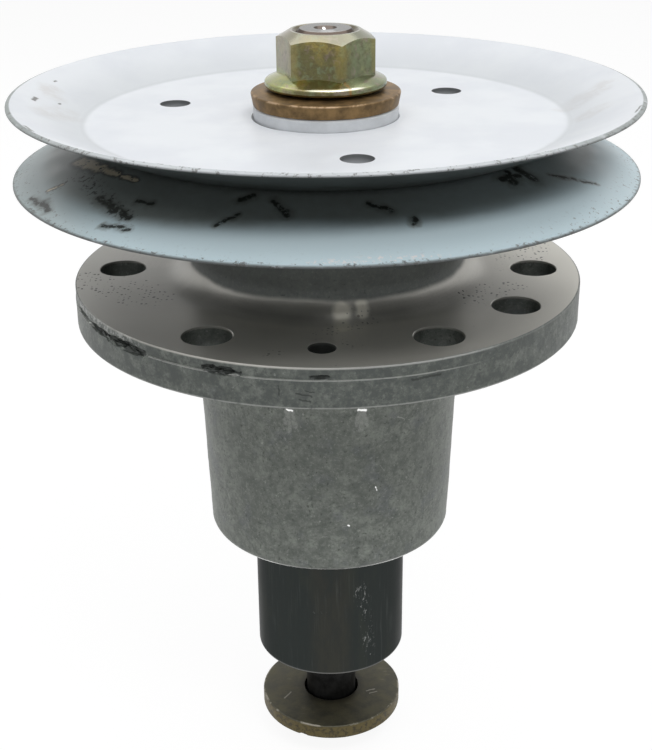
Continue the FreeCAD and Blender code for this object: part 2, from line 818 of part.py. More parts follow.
# Conical spring disc between the hub and the nut
def make_spring_disc():
    body = new_body("spring_disc")
    turned(body, "disc", [
        ("disc_bore", "nut_bottom"),
        ("disc_bore", "disc_arch"),
        ("disc_foot", "hub_top"),
        ("disc_radius", "disc_rim"),
    ])


# Hexagon flange nut, up from its bearing face
def make_nut():
    body = new_body("flange_nut", "nut_bottom")
    body.Placement.Rotation = FreeCAD.Rotation(FreeCAD.Vector(0, 0, 1), amount("nut_turn"))
    bind(body, "Placement.Rotation.Angle", "nut_turn")
    hex_prism(body, "nut_hexagon", "nut_corner", "nut_height", False)
    turned_cut(body, "nut_crown", outline_sketch(body, "nut_crown_outline", [
        ("nut_crown_radius", "nut_height"),
        ("nut_clear", "nut_height"),
        ("nut_clear", "nut_crown_foot"),
    ]))
    turned(body, "nut_flange", [
        ("on_axis", "on_axis"),
        ("nut_flange_radius", "on_axis"),
        ("nut_flange_radius", "nut_flange_edge"),
        ("nut_flat", "nut_skirt_top"),
        ("on_axis", "nut_skirt_top"),
    ])
    rounded(body, "nut_flange_rim", [
        ("nut_flange_radius", "on_axis"),
        ("nut_flange_radius", "nut_flange_edge"),
    ], "nut_flange_round")
    drilled(body, "nut_thread", "nut_bore", "on_axis", "on_axis")
    bevelled(body, "nut_mouths", [
        ("nut_bore", "on_axis"),
        ("nut_bore", "nut_height"),
    ], "nut_mouth")


# Blade bolt, up and down from the bearing face of its head
def make_blade_bolt():
    body = new_body("blade_bolt", "washer_bottom")
    hex_prism(body, "head", "head_corner", "head_height", True)
    turned_cut(body, "head_crown", outline_sketch(body, "head_crown_outline", [
        ("head_crown_radius", "head_bottom"),
        ("head_clear", "head_bottom"),
        ("head_clear", "head_crown_top"),
    ]))
    turned(body, "shank", [
        ("on_axis", "on_axis"),
        ("shank_radius", "on_axis"),
        ("shank_radius", "shank_length"),
        ("on_axis", "shank_length"),
    ])
    bevelled(body, "shank_point", [("shank_radius", "shank_length")], "bolt_point")


# Thick flat washer under the blade
def make_blade_washer():
    body = new_body("blade_washer")
    turned(body, "washer", [
        ("washer_bore", "washer_bottom"),
        ("washer_radius", "washer_bottom"),
        ("washer_radius", "washer_top"),
        ("washer_bore", "washer_top"),
    ])
    bevelled(body, "washer_rims", [
        ("washer_radius", "washer_bottom"),
        ("washer_radius", "washer_top"),
    ], "washer_edge")


make_housing()
for end in ("upper", "lower"):
    make_bearing(end, f"{end}_bearing_middle")
    make_seal(end)
make_shaft()
make_spacer()
make_key()
make_hub()
make_sheave("sheave_upper_half", "web_hole_y")
upside_down(make_sheave("sheave_lower_half", "under_web_hole_y"))
make_spring_disc()
make_nut()
make_blade_bolt()
make_blade_washer()
doc.recompute()

# Every feature must have built, and every piece must be a sound solid, before any file is written
for item in doc.Objects:
    if {"Invalid", "Error"} & set(item.State):
        raise RuntimeError(f"{item.Label} did not build: {item.State}")
for node in nodes:
    if node.Shape.isNull() or not node.Shape.isValid() or not node.Shape.Solids:
        raise RuntimeError(f"{node.Label} is not a sound solid")
for node in nodes:
    node.Shape.exportStep(f"parts/{node.Label}.step")
    print(f"{node.Label}: {node.Shape.Volume / CUBIC_MM_IN_CM3:.2f} cm3")
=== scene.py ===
# %% [markdown]
# # A mower deck spindle, dressed for its portrait
#
# The spindle hangs in the deck of a ride-on mower: a belt turns the pulley on top, the shaft turns
# in two ball bearings inside a cast aluminium housing, and the blade is clamped under the boss by
# one long bolt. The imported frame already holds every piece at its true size. This lesson gives each
# surface its finish, and remodels the pieces whose wear or threads need real geometry.

# %% Load the frame
import json
import math
from contextlib import contextmanager
import bmesh
import bpy
from mathutils import Matrix, Vector


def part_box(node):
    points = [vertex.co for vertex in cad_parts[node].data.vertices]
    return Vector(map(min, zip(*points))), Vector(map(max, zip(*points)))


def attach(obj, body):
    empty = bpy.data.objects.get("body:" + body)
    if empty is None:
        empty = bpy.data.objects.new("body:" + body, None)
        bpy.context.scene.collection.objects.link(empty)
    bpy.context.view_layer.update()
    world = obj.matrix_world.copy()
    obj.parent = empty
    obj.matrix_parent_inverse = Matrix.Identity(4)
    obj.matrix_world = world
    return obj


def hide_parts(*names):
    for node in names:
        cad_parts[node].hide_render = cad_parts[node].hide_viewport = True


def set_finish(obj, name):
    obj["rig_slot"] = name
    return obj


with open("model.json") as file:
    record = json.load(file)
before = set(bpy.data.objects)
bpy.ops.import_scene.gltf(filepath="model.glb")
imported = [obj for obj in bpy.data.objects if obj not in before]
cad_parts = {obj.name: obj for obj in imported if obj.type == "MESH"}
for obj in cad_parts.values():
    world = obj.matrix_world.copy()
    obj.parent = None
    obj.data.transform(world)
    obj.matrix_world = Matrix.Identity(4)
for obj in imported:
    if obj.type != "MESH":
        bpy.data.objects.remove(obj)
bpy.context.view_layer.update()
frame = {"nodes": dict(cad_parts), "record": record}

MM = 0.001
print("nodes in the frame:", len(frame["nodes"]))

# %% [markdown]
# ## Node trees
#
# The floor, the sky and every finish are node trees. Typed out in full, each node takes several
# lines, so a few helpers put nodes in the tree that lies on the bench, and wire them up.

# %% Node helpers
NUMBER_SUMS = ("LENGTH", "DISTANCE", "DOT_PRODUCT")
bench = {}


def put(kind, inputs=None, **options):
    """Add a node to the tree on the bench, set its options, and set or link its inputs."""
    tree = bench["tree"]
    node = tree.nodes.new(kind)
    for option, value in options.items():
        setattr(node, option, value)
    for socket, value in (inputs or {}).items():
        if isinstance(value, bpy.types.NodeSocket):
            tree.links.new(value, node.inputs[socket])
        else:
            node.inputs[socket].default_value = value
    return node


def new_finish(name, metallic):
    """Put an empty node material on the bench, whose shader has one plain metallic value."""
    finish = bpy.data.materials.new(name)
    finish.use_nodes = True
    shader = finish.node_tree.nodes["Principled BSDF"]
    shader.inputs["Metallic"].default_value = metallic
    bench.update(tree=finish.node_tree, finish=finish, shader=shader)


def wire(socket, value):
    """Link a value to a socket of the shader on the bench."""
    bench["tree"].links.new(value, bench["shader"].inputs[socket])


def dress(colour, roughness, relief, depth):
    """Link a colour, a roughness and a relief in millimetres, and hand the finish over."""
    wire("Base Color", colour)
    wire("Roughness", roughness)
    wire("Normal", put("ShaderNodeBump", {"Height": relief, "Distance": depth * MM}).outputs[0])
    return bench["finish"]


def vectors(operation, *inputs, **sockets):
    """One sum on vectors, which gives a number for a length, a distance or a dot product."""
    node = put("ShaderNodeVectorMath", {**dict(enumerate(inputs)), **sockets}, operation=operation)
    return node.outputs[1 if operation in NUMBER_SUMS else 0]


def parts(where):
    """The X, Y and Z of a place."""
    return put("ShaderNodeSeparateXYZ", {0: where}).outputs


def places():
    """Place in millimetres, distance from the axis, height, and how far a face looks up."""
    coords = put("ShaderNodeTexCoord").outputs
    where = vectors("SCALE", coords["Object"], Scale=1 / MM)
    split = parts(where)
    flat = put("ShaderNodeCombineXYZ", {0: split[0], 1: split[1]}).outputs[0]
    return where, vectors("LENGTH", flat), split[2], parts(coords["Normal"])[2]


def maths(operation, first, second=0.0):
    """One sum on two numbers."""
    return put("ShaderNodeMath", {0: first, 1: second}, operation=operation).outputs[0]


def times(*shares):
    """The product of several shares."""
    total = shares[0]
    for share in shares[1:]:
        total = maths("MULTIPLY", total, share)
    return total


def scaled(value, factor, start):
    """A number that grows from a start by a factor."""
    return maths("ADD", times(value, factor), start)


def less(first, second):
    """One number less another."""
    return maths("SUBTRACT", first, second)


def either(first, second):
    """The larger of two shares."""
    return maths("MAXIMUM", first, second)


def window(value, low, high):
    """A soft step from nothing at low to one at high."""
    limits = {"Value": value, "From Min": low, "From Max": high}
    return put("ShaderNodeMapRange", limits, interpolation_type="SMOOTHSTEP").outputs[0]


def band(value, low, high, soft):
    """One between two values, with soft ends."""
    return times(window(value, low - soft, low + soft), window(value, high + soft, high - soft))


def noise(where, grain, detail=4.0, roughness=0.55):
    """Cloudy noise whose largest spots are about one grain across, in millimetres."""
    inputs = {"Vector": where, "Scale": 1 / grain, "Detail": detail, "Roughness": roughness}
    return put("ShaderNodeTexNoise", inputs).outputs[0]


def stretched(where, scale):
    """Places squeezed along some axes, so that noise on them runs in streaks."""
    return vectors("MULTIPLY", where, scale)


def frayed(where, grain, reach):
    """Places shifted by noise, which frays the edge of any mark drawn on them."""
    inputs = {"Vector": where, "Scale": 1 / grain, "Detail": 3.0}
    cloud = put("ShaderNodeTexNoise", inputs).outputs[1]
    centred = vectors("SUBTRACT", cloud, (0.5, 0.5, 0.5))
    return vectors("MULTIPLY_ADD", centred, (reach, reach, reach), where)


def lay(under, over, *shares):
    """A colour with another laid over it, as strongly as the product of the shares."""
    return put("ShaderNodeMix", {0: times(*shares), 6: under, 7: over}, data_type="RGBA").outputs[2]


def stack(colour, *layers):
    """A colour with several others laid over it in turn, each with its shares."""
    for over, *shares in layers:
        colour = lay(colour, over, *shares)
    return colour


def around(angle, radius, height):
    """A point in millimetres from its angle in degrees, radius and height."""
    turn = math.radians(angle)
    return Vector((radius * math.cos(turn), radius * math.sin(turn), height))


def side_on(where, angle):
    """How far a place lies out from the axis towards one side."""
    return vectors("DOT_PRODUCT", where, around(angle, 1, 0))


def strokes(where, marks):
    """One along each mark, a line between two points with a width, and nothing elsewhere."""
    total = 0.0
    for start, end, width in marks:
        run = end - start
        away = vectors("SUBTRACT", where, start)
        along = vectors("DOT_PRODUCT", away, run / max(run.length_squared, 0.01))
        share = put("ShaderNodeClamp", {0: along}).outputs[0]
        gap = vectors("DISTANCE", away, vectors("SCALE", run, Scale=share))
        total = either(total, window(gap, width, width * 0.35))
    return total


def hole_walls(where, spots, reach):
    """One inside any of several upright holes."""
    flat = stretched(where, (1.0, 1.0, 0.0))
    total = 0.0
    for angle, radius in spots:
        gap = vectors("DISTANCE", flat, around(angle, radius, 0))
        total = either(total, window(gap, reach + 0.12, reach + 0.04))
    return total


def shade(value, warmth=0.0):
    """A grey, warmer or cooler by a little."""
    return (value * (1 + warmth), value, value * (1 - warmth), 1)


print("node helpers are ready")

# %% [markdown]
# ## Floor, light and camera
#
# The object stands on its bolt head, so the floor touches the lowest point of the frame. A product
# photo on white could be faked with a bright lamp behind a sheet of paper. Here the floor itself is
# pale, and what the camera and the reflections see of it is topped up to white, so that no extra
# light falls on the metal.

# %% Pale floor
FLOOR_SIZE = 12.0
FLOOR_GLOW = 0.92
FLOOR_SHADE = (0.14, 0.14, 0.14, 1)
FLOOR_BOUNCE = (0.16, 0.16, 0.16, 1)


def seen_directly():
    """One for camera, glossy and transmission rays, and nothing for the rest."""
    path = put("ShaderNodeLightPath").outputs
    seen = either(path["Is Camera Ray"], path["Is Glossy Ray"])
    return either(seen, path["Is Transmission Ray"])


def paper_floor():
    """Diffuse paper that looks white to the camera and still takes a soft shadow."""
    finish = bpy.data.materials.new("paper_floor")
    finish.use_nodes = True
    bench["tree"] = finish.node_tree
    finish.node_tree.nodes.clear()
    dull = put("ShaderNodeBsdfDiffuse", {"Color": FLOOR_SHADE}).outputs[0]
    glow = put("ShaderNodeEmission", {"Strength": FLOOR_GLOW}).outputs[0]
    white = put("ShaderNodeAddShader", {0: dull, 1: glow}).outputs[0]
    bounce = put("ShaderNodeBsdfDiffuse", {"Color": FLOOR_BOUNCE}).outputs[0]
    choice = put("ShaderNodeMixShader", {0: seen_directly(), 1: bounce, 2: white}).outputs[0]
    put("ShaderNodeOutputMaterial", {"Surface": choice})
    return finish


floor_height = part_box("blade_bolt")[0].z
bpy.ops.object.select_all(action="DESELECT")
bpy.ops.mesh.primitive_plane_add(size=FLOOR_SIZE, location=(0, 0, floor_height))
floor = bpy.context.object
floor.name = "floor"
floor.data.materials.append(paper_floor())
print(f"floor at {floor_height / MM:.1f} mm")

# %% [markdown]
# A white sky gives the even light of a shaded yard. Two soft lamps shape it: a large one overhead, so
# that the pulley's top is the palest surface, and a small one at the front right, which picks out the
# edges of the nut and the flange.

# %% Sky and lamps
SKY_SEEN = 1.0
SKY_FILL = 0.13
LAMPS = {
    "overhead": ((0.0, -0.05, 1.06), (2.0, 2.0), 14.6),
    "front_right": ((0.24, -0.58, 0.85), (0.40, 0.22), 2.0),
}


def white_sky():
    """A sky that is white where it is seen and softer as a fill light."""
    world = bpy.data.worlds.new("white_sky")
    world.use_nodes = True
    bench["tree"] = world.node_tree
    limits = {"Value": seen_directly(), "To Min": SKY_FILL, "To Max": SKY_SEEN}
    sky = world.node_tree.nodes["Background"]
    sky.inputs["Color"].default_value = (1, 1, 1, 1)
    bench["tree"].links.new(put("ShaderNodeMapRange", limits).outputs[0], sky.inputs["Strength"])
    return world


def soft_lamp(name, place, size, power):
    """A large rectangular lamp that faces the middle of the object."""
    bpy.ops.object.light_add(type="AREA", location=place)
    lamp = bpy.context.object
    lamp.name = name
    lamp.data.shape = "RECTANGLE"
    lamp.data.size, lamp.data.size_y = size
    lamp.data.energy = power
    lamp.rotation_euler = (-Vector(place)).to_track_quat("-Z", "Y").to_euler()


bpy.context.scene.world = white_sky()
for name, (place, size, power) in LAMPS.items():
    soft_lamp(name, place, size, power)
bpy.context.scene.view_settings.view_transform = "Standard"
print("lamps:", ", ".join(LAMPS))

# %% [markdown]
# The camera was found by fitting circles to the rims, the flange, the boss and the washer: one
# perspective camera explains them all. It stands a little over a third of a metre from the axis and
# looks down on the pulley.

# %% Camera
SENSOR = 36.0
LENS = 66.33
CAMERA_DISTANCE = 375.66 * MM
CAMERA_HEIGHT = 144.93 * MM
CAMERA_ANGLE = math.radians(-88.5)
CAMERA_HEADING = math.radians(91.61)
CAMERA_PITCH = math.radians(24.032)
CAMERA_ROLL = math.radians(-0.573)

camera_data = bpy.data.cameras.new("portrait")
camera_data.sensor_width = SENSOR
camera_data.lens = LENS
camera = bpy.data.objects.new("portrait", camera_data)
bpy.context.scene.collection.objects.link(camera)
camera_place = Vector((math.cos(CAMERA_ANGLE), math.sin(CAMERA_ANGLE), 0)) * CAMERA_DISTANCE
camera_place.z = CAMERA_HEIGHT
heading = Matrix.Rotation(CAMERA_HEADING - math.pi / 2, 4, "Z")
pitch = Matrix.Rotation(math.pi / 2 - CAMERA_PITCH, 4, "X")
roll = Matrix.Rotation(CAMERA_ROLL, 4, "Z")
camera.matrix_world = Matrix.Translation(camera_place) @ heading @ pitch @ roll
bpy.context.scene.camera = camera
print("camera at", [round(value / MM, 1) for value in camera_place])

# %% [markdown]
# ## Turned pieces
#
# The housing, the shaft, the disc, the nut's flange and the washer were all turned on a lathe. One
# could stretch a cylinder and bevel its edges, but a lathe gives every edge its own radius. So each
# piece starts as a ring of points, which are moved to the corners of its section, and Spin carries
# that section once round the axis. A corner may have a rounding, and then it becomes an arc.

# %% Helpers for turned pieces
RING_STEPS = 192
FINE_STEPS = 288
DRILL_STEPS = 64
ARC_STEP = math.radians(11)
WELD = 1e-7
SHARP_EDGE = 32
CLOUD_DEPTH = 3


def only(piece):
    """Select one piece and nothing else."""
    bpy.ops.object.select_all(action="DESELECT")
    piece.select_set(True)
    bpy.context.view_layer.objects.active = piece


def fresh(name, add, **settings):
    """A new piece at the origin, made by one of the mesh operators."""
    bpy.ops.object.select_all(action="DESELECT")
    add(**settings)
    piece = bpy.context.object
    piece.name = piece.data.name = name
    return piece


@contextmanager
def editing(piece):
    """Edit mode with every point of one piece selected."""
    only(piece)
    bpy.ops.object.mode_set(mode="EDIT")
    bpy.ops.mesh.select_all(action="SELECT")
    yield bmesh.from_edit_mesh(piece.data)
    bpy.ops.object.mode_set(mode="OBJECT")


def sharp(*corners):
    """A section in millimetres through plain corners of radius and height."""
    return [Vector(corner) for corner in corners]


def rounded(corners):
    """A section in millimetres through corners of radius, height and rounding."""
    section = []
    for index, (*spot, rounding) in enumerate(corners):
        corner = Vector(spot)
        if not rounding:
            section.append(corner)
            continue
        before = (Vector(corners[index - 1][:2]) - corner).normalized()
        after = (Vector(corners[(index + 1) % len(corners)][:2]) - corner).normalized()
        turn = math.pi - before.angle(after)
        reach = rounding * math.tan(turn / 2)
        centre = corner + (before + after).normalized() * (rounding / math.cos(turn / 2))
        first = before * reach + corner - centre
        last = after * reach + corner - centre
        count = max(2, round(turn / ARC_STEP))
        for step in range(count + 1):
            section.append(centre + first.slerp(last, step / count).normalized() * rounding)
    return section


def closely(section, step):
    """The same section with more points, so that no run is longer than a step."""
    points = []
    for here, there in zip(section, section[1:] + section[:1]):
        count = max(1, math.ceil((there - here).length / step))
        points += [here.lerp(there, part / count) for part in range(count)]
    return points


def ring(name, section):
    """A closed ring of edges through the corners of a section, in the plane of X and Z."""
    piece = fresh(name, bpy.ops.mesh.primitive_circle_add, vertices=len(section), radius=MM)
    with editing(piece) as mesh:
        for point, (radius, height) in zip(mesh.verts, section):
            point.co = (radius * MM, 0, height * MM)
        bmesh.update_edit_mesh(piece.data)
    return piece


def turned(name, section, steps=RING_STEPS):
    """Spin a closed section of radius and height once round the Z axis."""
    piece = ring(name, section)
    with editing(piece):
        bpy.ops.mesh.spin(steps=steps, angle=math.tau, center=(0, 0, 0), axis=(0, 0, 1))
        bpy.ops.mesh.select_all(action="SELECT")
        bpy.ops.mesh.remove_doubles(threshold=WELD)
        bpy.ops.mesh.delete_loose()
        bpy.ops.mesh.select_all(action="SELECT")
        bpy.ops.mesh.normals_make_consistent(inside=False)
    return piece


def moved(piece, x=0, z=0, turn=0):
    """Turn a piece about the axis and shift it in edit mode, in millimetres and degrees."""
    place = Matrix.Translation(Vector((x, 0, z)) * MM) @ Matrix.Rotation(math.radians(turn), 4, "Z")
    with editing(piece) as mesh:
        bmesh.ops.transform(mesh, matrix=place, verts=mesh.verts)
        bmesh.update_edit_mesh(piece.data)
    return piece


def carve(piece, tool, operation="DIFFERENCE"):
    """Cut a tool out of a piece, or join or keep what they share, and drop the tool."""
    only(piece)
    change = piece.modifiers.new("carve", "BOOLEAN")
    change.operation = operation
    change.object = tool
    change.solver = "EXACT"
    bpy.ops.object.modifier_apply(modifier=change.name)
    bpy.data.objects.remove(tool)
    return piece


def joined(pieces):
    """Make several loose pieces one object."""
    only(pieces[0])
    for piece in pieces[1:]:
        piece.select_set(True)
    bpy.ops.object.join()
    return pieces[0]


def ruffle(piece, name, grain, depth, chosen=lambda radius, height: True):
    """Push the chosen points in and out by a cloudy amount, as sand leaves a casting."""
    group = piece.vertex_groups.new(name=name)
    spots = [(point.index, point.co) for point in piece.data.vertices]
    picks = [index for index, spot in spots if chosen(spot.xy.length / MM, spot.z / MM)]
    group.add(picks, 1.0, "REPLACE")
    cloud = bpy.data.textures.new(name, "CLOUDS")
    cloud.noise_scale = grain * MM
    cloud.noise_depth = CLOUD_DEPTH
    only(piece)
    change = piece.modifiers.new(name, "DISPLACE")
    change.texture = cloud
    change.texture_coords = "LOCAL"
    change.strength = depth * MM
    change.mid_level = 0.5
    change.vertex_group = name
    bpy.ops.object.modifier_apply(modifier=change.name)
    piece.vertex_groups.remove(piece.vertex_groups[name])


def smooth(piece, angle=SHARP_EDGE):
    """Smooth shading that keeps edges sharper than an angle."""
    only(piece)
    bpy.ops.object.shade_smooth_by_angle(angle=math.radians(angle))


def stands_for(piece, node, body, slot):
    """Let a finished piece ride on a body in place of a CAD node."""
    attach(piece, body)
    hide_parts(node)
    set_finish(piece, slot)
    triangles = sum(len(face.vertices) - 2 for face in piece.data.polygons)
    print(f"{piece.name}: {triangles} triangles")


print("helpers for turned pieces are ready")

# %% [markdown]
# ## The cast housing
#
# The housing is poured in aluminium, and then its flange, fillet and bores are turned. Sand leaves
# the body and the flange's rim slightly uneven, and the skin of the rim is torn in a few places along
# its front left. The unevenness is a cloudy Displace on those walls only; the tears and the bolt
# holes are cut with Boolean tools, so that they are real hollows from any side.

# %% Housing section
RIM = 71.7
RIM_TOP = 11.1
SKIN_STEP = 1.6
housing_section = rounded([
    (27.41, -45.5, 0),
    (31.01, -45.5, 0),
    (31.01, -68.3, 0),
    (31.75, -69.0, 0),
    (36.10, -69.0, 3.0),
    (38.50, 0.0, 1.5),
    (RIM, 0.0, 0.6),
    (RIM, RIM_TOP, 0.35),
    (38.50, RIM_TOP, 8.0),
    (38.50, 45.5, 1.0),
    (31.75, 45.5, 0),
    (31.01, 44.8, 0),
    (31.01, 22.0, 0),
    (27.41, 22.0, 0),
])
cast_housing = turned("cast_housing", closely(housing_section, SKIN_STEP), steps=FINE_STEPS)
print("section points:", len(housing_section))

# %% Cast skin
def on_body(radius, height):
    """Whether a point lies on the cast wall of the body."""
    return radius > 34.5 and -66.5 < height < -1.2


def on_rim(radius, height):
    """Whether a point lies on the cast wall of the flange."""
    return radius > 71.6 and 0.5 < height < 10.6


ruffle(cast_housing, "body_waves", 16.0, 0.5, on_body)
ruffle(cast_housing, "body_grain", 2.4, 0.16, on_body)
ruffle(cast_housing, "rim_grain", 3.2, 0.34, on_rim)
print("cast skin on the body and the rim")

# %% [markdown]
# Six bolt holes on one circle, a spare one between two of them and a small vent at the front are cut
# with short turned tools, whose flared ends leave the slight countersink that a deburring tool does.

# %% Bolt holes and vent
BOLT_CIRCLE = 59.0
BOLT_ANGLES = (0, 60, 120, 180, 240, 300, -30)
BOLT_HOLE = 6.55
VENT_ANGLE = -90
VENT_HOLE = 3.5
BURR = 0.2


def drill(radius):
    """A drill through the flange, a little wider at both faces."""
    lip = radius + BURR
    return turned("drill", sharp(
        (0, -1), (lip + 1, -1), (lip, 0), (radius, BURR), (radius, RIM_TOP - BURR),
        (lip, RIM_TOP), (lip + 1, RIM_TOP + 1), (0, RIM_TOP + 1),
    ), steps=DRILL_STEPS)


holes = [(angle, BOLT_HOLE) for angle in BOLT_ANGLES] + [(VENT_ANGLE, VENT_HOLE)]
drills = [moved(moved(drill(radius), x=BOLT_CIRCLE), turn=angle) for angle, radius in holes]
carve(cast_housing, joined(drills))
print("holes:", len(holes))

# %% [markdown]
# The casting sat a little off centre when its flange was turned, so the lathe cut the rim's top strip
# only along the front left. A ring whose axis is shifted takes off the same thin sickle.

# %% Off-centre cut on the rim
LEDGE_FLOOR = 7.8
LEDGE_TOP = 13.0
LEDGE_SHIFT = 0.9
LEDGE_ANGLE = -115.0
ledge_radius = RIM + LEDGE_SHIFT / 2
outside = RIM + 5
ledge_ring = turned("ledge_ring", sharp(
    (ledge_radius, LEDGE_FLOOR), (outside, LEDGE_FLOOR), (outside, LEDGE_TOP), (ledge_radius, LEDGE_TOP),
), steps=FINE_STEPS)
carve(cast_housing, moved(moved(ledge_ring, x=-LEDGE_SHIFT), turn=LEDGE_ANGLE))
print(f"deepest cut: {LEDGE_SHIFT / 2:.2f} mm")

# %% [markdown]
# A tear is a long shallow lens with a ragged edge: a stretched sphere, ruffled, that only grazes the
# rim. Each is given by its angle, its height on the rim, and its length, depth and rise. Lenses that
# overlap can't share one Boolean tool, so the one that links two others is cut after them.

# %% Torn skin on the rim
TEARS = {
    "long_tear": (-135.5, 7.9, 21.0, 2.0, 3.0),
    "long_tear_tail": (-155.5, 8.6, 14.0, 1.2, 1.4),
    "second_tear": (-110.5, 8.5, 13.5, 1.6, 2.5),
    "second_tear_tail": (-99.0, 8.2, 14.0, 0.55, 0.5),
    "front_pit": (-90.0, 8.5, 6.0, 1.2, 1.6),
    "right_pit": (-66.0, 7.9, 2.6, 0.5, 0.6),
    "back_tear": (58.0, 7.6, 9.0, 0.9, 1.0),
    "back_pit": (104.0, 8.1, 3.6, 0.7, 0.8),
}
TEAR_GRAIN = 1.3
TEAR_RUFFLE = 0.55
LINKING_TEAR = {"long_tear_middle": (-145.5, 8.2, 19.0, 1.6, 2.0)}


def tear(name, length, depth, rise):
    """A ragged lens, long along Y."""
    lens = fresh(name, bpy.ops.mesh.primitive_ico_sphere_add, subdivisions=4, radius=MM)
    with editing(lens):
        bpy.ops.transform.resize(value=(depth, length / 2, rise / 2))
    ruffle(lens, name, TEAR_GRAIN, TEAR_RUFFLE * rise)
    return lens


def torn(tears):
    """Lenses set on the rim, as one tool."""
    lenses = []
    for name, (angle, height, length, depth, rise) in tears.items():
        lens = moved(tear(name, length, depth, rise), x=RIM, z=height)
        lenses.append(moved(lens, turn=angle))
    return joined(lenses)


carve(cast_housing, torn(TEARS))
carve(cast_housing, torn(LINKING_TEAR))
smooth(cast_housing)
stands_for(cast_housing, "housing", "housing", "cast_aluminium")

# %% [markdown]
# ## Shaft, nut, spring disc, bolt and washer
#
# A thread is a groove that climbs round its shaft. Screw carries a small triangle up the axis as it
# turns, which gives a closed worm, and that worm is cut out of the turned shaft.

# %% Thread tool
FINE_PITCH = 1.411
COARSE_PITCH = 2.309
THREAD_RADIUS = 7.9375
THREAD_DEPTH = 0.613
WORM_DEPTH = 0.75
WORM_STEPS = 48
FLANK = math.tan(math.radians(30))


def thread_tool(pitch, low, turns):
    """A worm of triangular section, whose tip is the thread's root."""
    root = THREAD_RADIUS - THREAD_DEPTH * pitch
    outside = root + WORM_DEPTH * pitch
    half = (outside - root) * FLANK
    worm = ring("worm", [(root, low), (outside, low - half), (outside, low + half)])
    only(worm)
    change = worm.modifiers.new("climb", "SCREW")
    change.screw_offset = pitch * MM
    change.iterations = turns
    change.steps = change.render_steps = WORM_STEPS
    bpy.ops.object.modifier_apply(modifier=change.name)
    with editing(worm):
        bpy.ops.mesh.fill_holes(sides=0)
        bpy.ops.mesh.normals_make_consistent(inside=False)
    return worm


print("threads of", FINE_PITCH, "and", COARSE_PITCH, "mm pitch")

# %% Spindle shaft
SHAFT_THREAD = (FINE_PITCH, 58.6, 16)
KEYWAY_SIZE = (6.45, 6.45, 16.35)
KEYWAY_PLACE = {"x": 12.665, "z": 50.625}
shaft_section = rounded([
    (0, -75.2, 0),
    (7.9975, -79.8, 0),
    (7.9975, -113.3, 0),
    (8.4975, -113.8, 0),
    (23.0, -113.8, 0.5),
    (23.0, -62.7, 0.5),
    (19.0, -62.7, 0),
    (19.0, -61.5, 0),
    (14.99, -61.5, 0),
    (14.99, 37.2, 0.6),
    (12.69, 37.2, 0),
    (12.69, 57.5, 0.6),
    (THREAD_RADIUS, 57.5, 0),
    (THREAD_RADIUS, 78.3, 0),
    (6.9375, 79.3, 0.25),
    (3.1, 79.3, 0.15),
    (0, 75.1, 0),
])
turned_shaft = turned("turned_shaft", shaft_section)
carve(turned_shaft, thread_tool(*SHAFT_THREAD))
keyway_tool = fresh("keyway_tool", bpy.ops.mesh.primitive_cube_add, size=MM)
with editing(keyway_tool):
    bpy.ops.transform.resize(value=KEYWAY_SIZE)
carve(turned_shaft, moved(keyway_tool, **KEYWAY_PLACE))
smooth(turned_shaft)
stands_for(turned_shaft, "spindle_shaft", "rotor", "black_steel")

# %% [markdown]
# The flange nut is a hexagon whose top is chamfered by a cone, so that each flat ends in a curve,
# and whose foot runs out in a round flange. The cone and the flange are turned tools; a small bevel
# then takes the sharpness off the hexagon's edges, as forging and plating do.

# %% Hexagon helper
ACROSS_FLATS = 23.8125
HEX_CORNER = ACROSS_FLATS / math.sqrt(3)
HEX_FLAT = ACROSS_FLATS / 2
NUT_CROWN = HEX_FLAT - 2.25
HEAD_CROWN = HEX_FLAT - 0.3
CROWN_SLOPE = math.tan(math.radians(30))
CROWN_REACH = 20
FIRST_CORNER = 30
HEX_EDGE = 24


def hexagon(name, height, softness):
    """A hexagon bar from the floor up, with one corner on X and slightly rounded edges."""
    size = {"radius": HEX_CORNER * MM, "depth": height * MM}
    bar = fresh(name, bpy.ops.mesh.primitive_cylinder_add, vertices=6, **size)
    with editing(bar):
        bpy.ops.mesh.select_mode(type="EDGE")
        mesh = bmesh.from_edit_mesh(bar.data)
        for edge in mesh.edges:
            edge.select_set(abs(edge.verts[0].co.z - edge.verts[1].co.z) > MM)
        bmesh.update_edit_mesh(bar.data)
        bpy.ops.mesh.bevel(offset=softness * MM, segments=4, affect="EDGES")
        bpy.ops.mesh.select_mode(type="VERT")
    return moved(bar, z=height / 2, turn=FIRST_CORNER)


def crowned(name, height, softness, radius):
    """A hexagon bar whose top is chamfered by a cone that starts at a radius."""
    foot = height - (CROWN_REACH - radius) * CROWN_SLOPE
    cone = turned("cone", sharp(
        (0, -1), (CROWN_REACH, -1), (CROWN_REACH, foot), (radius, height), (0, height),
    ))
    return carve(hexagon(name, height, softness), cone, "INTERSECT")


print(f"hexagon: {ACROSS_FLATS} mm across flats")

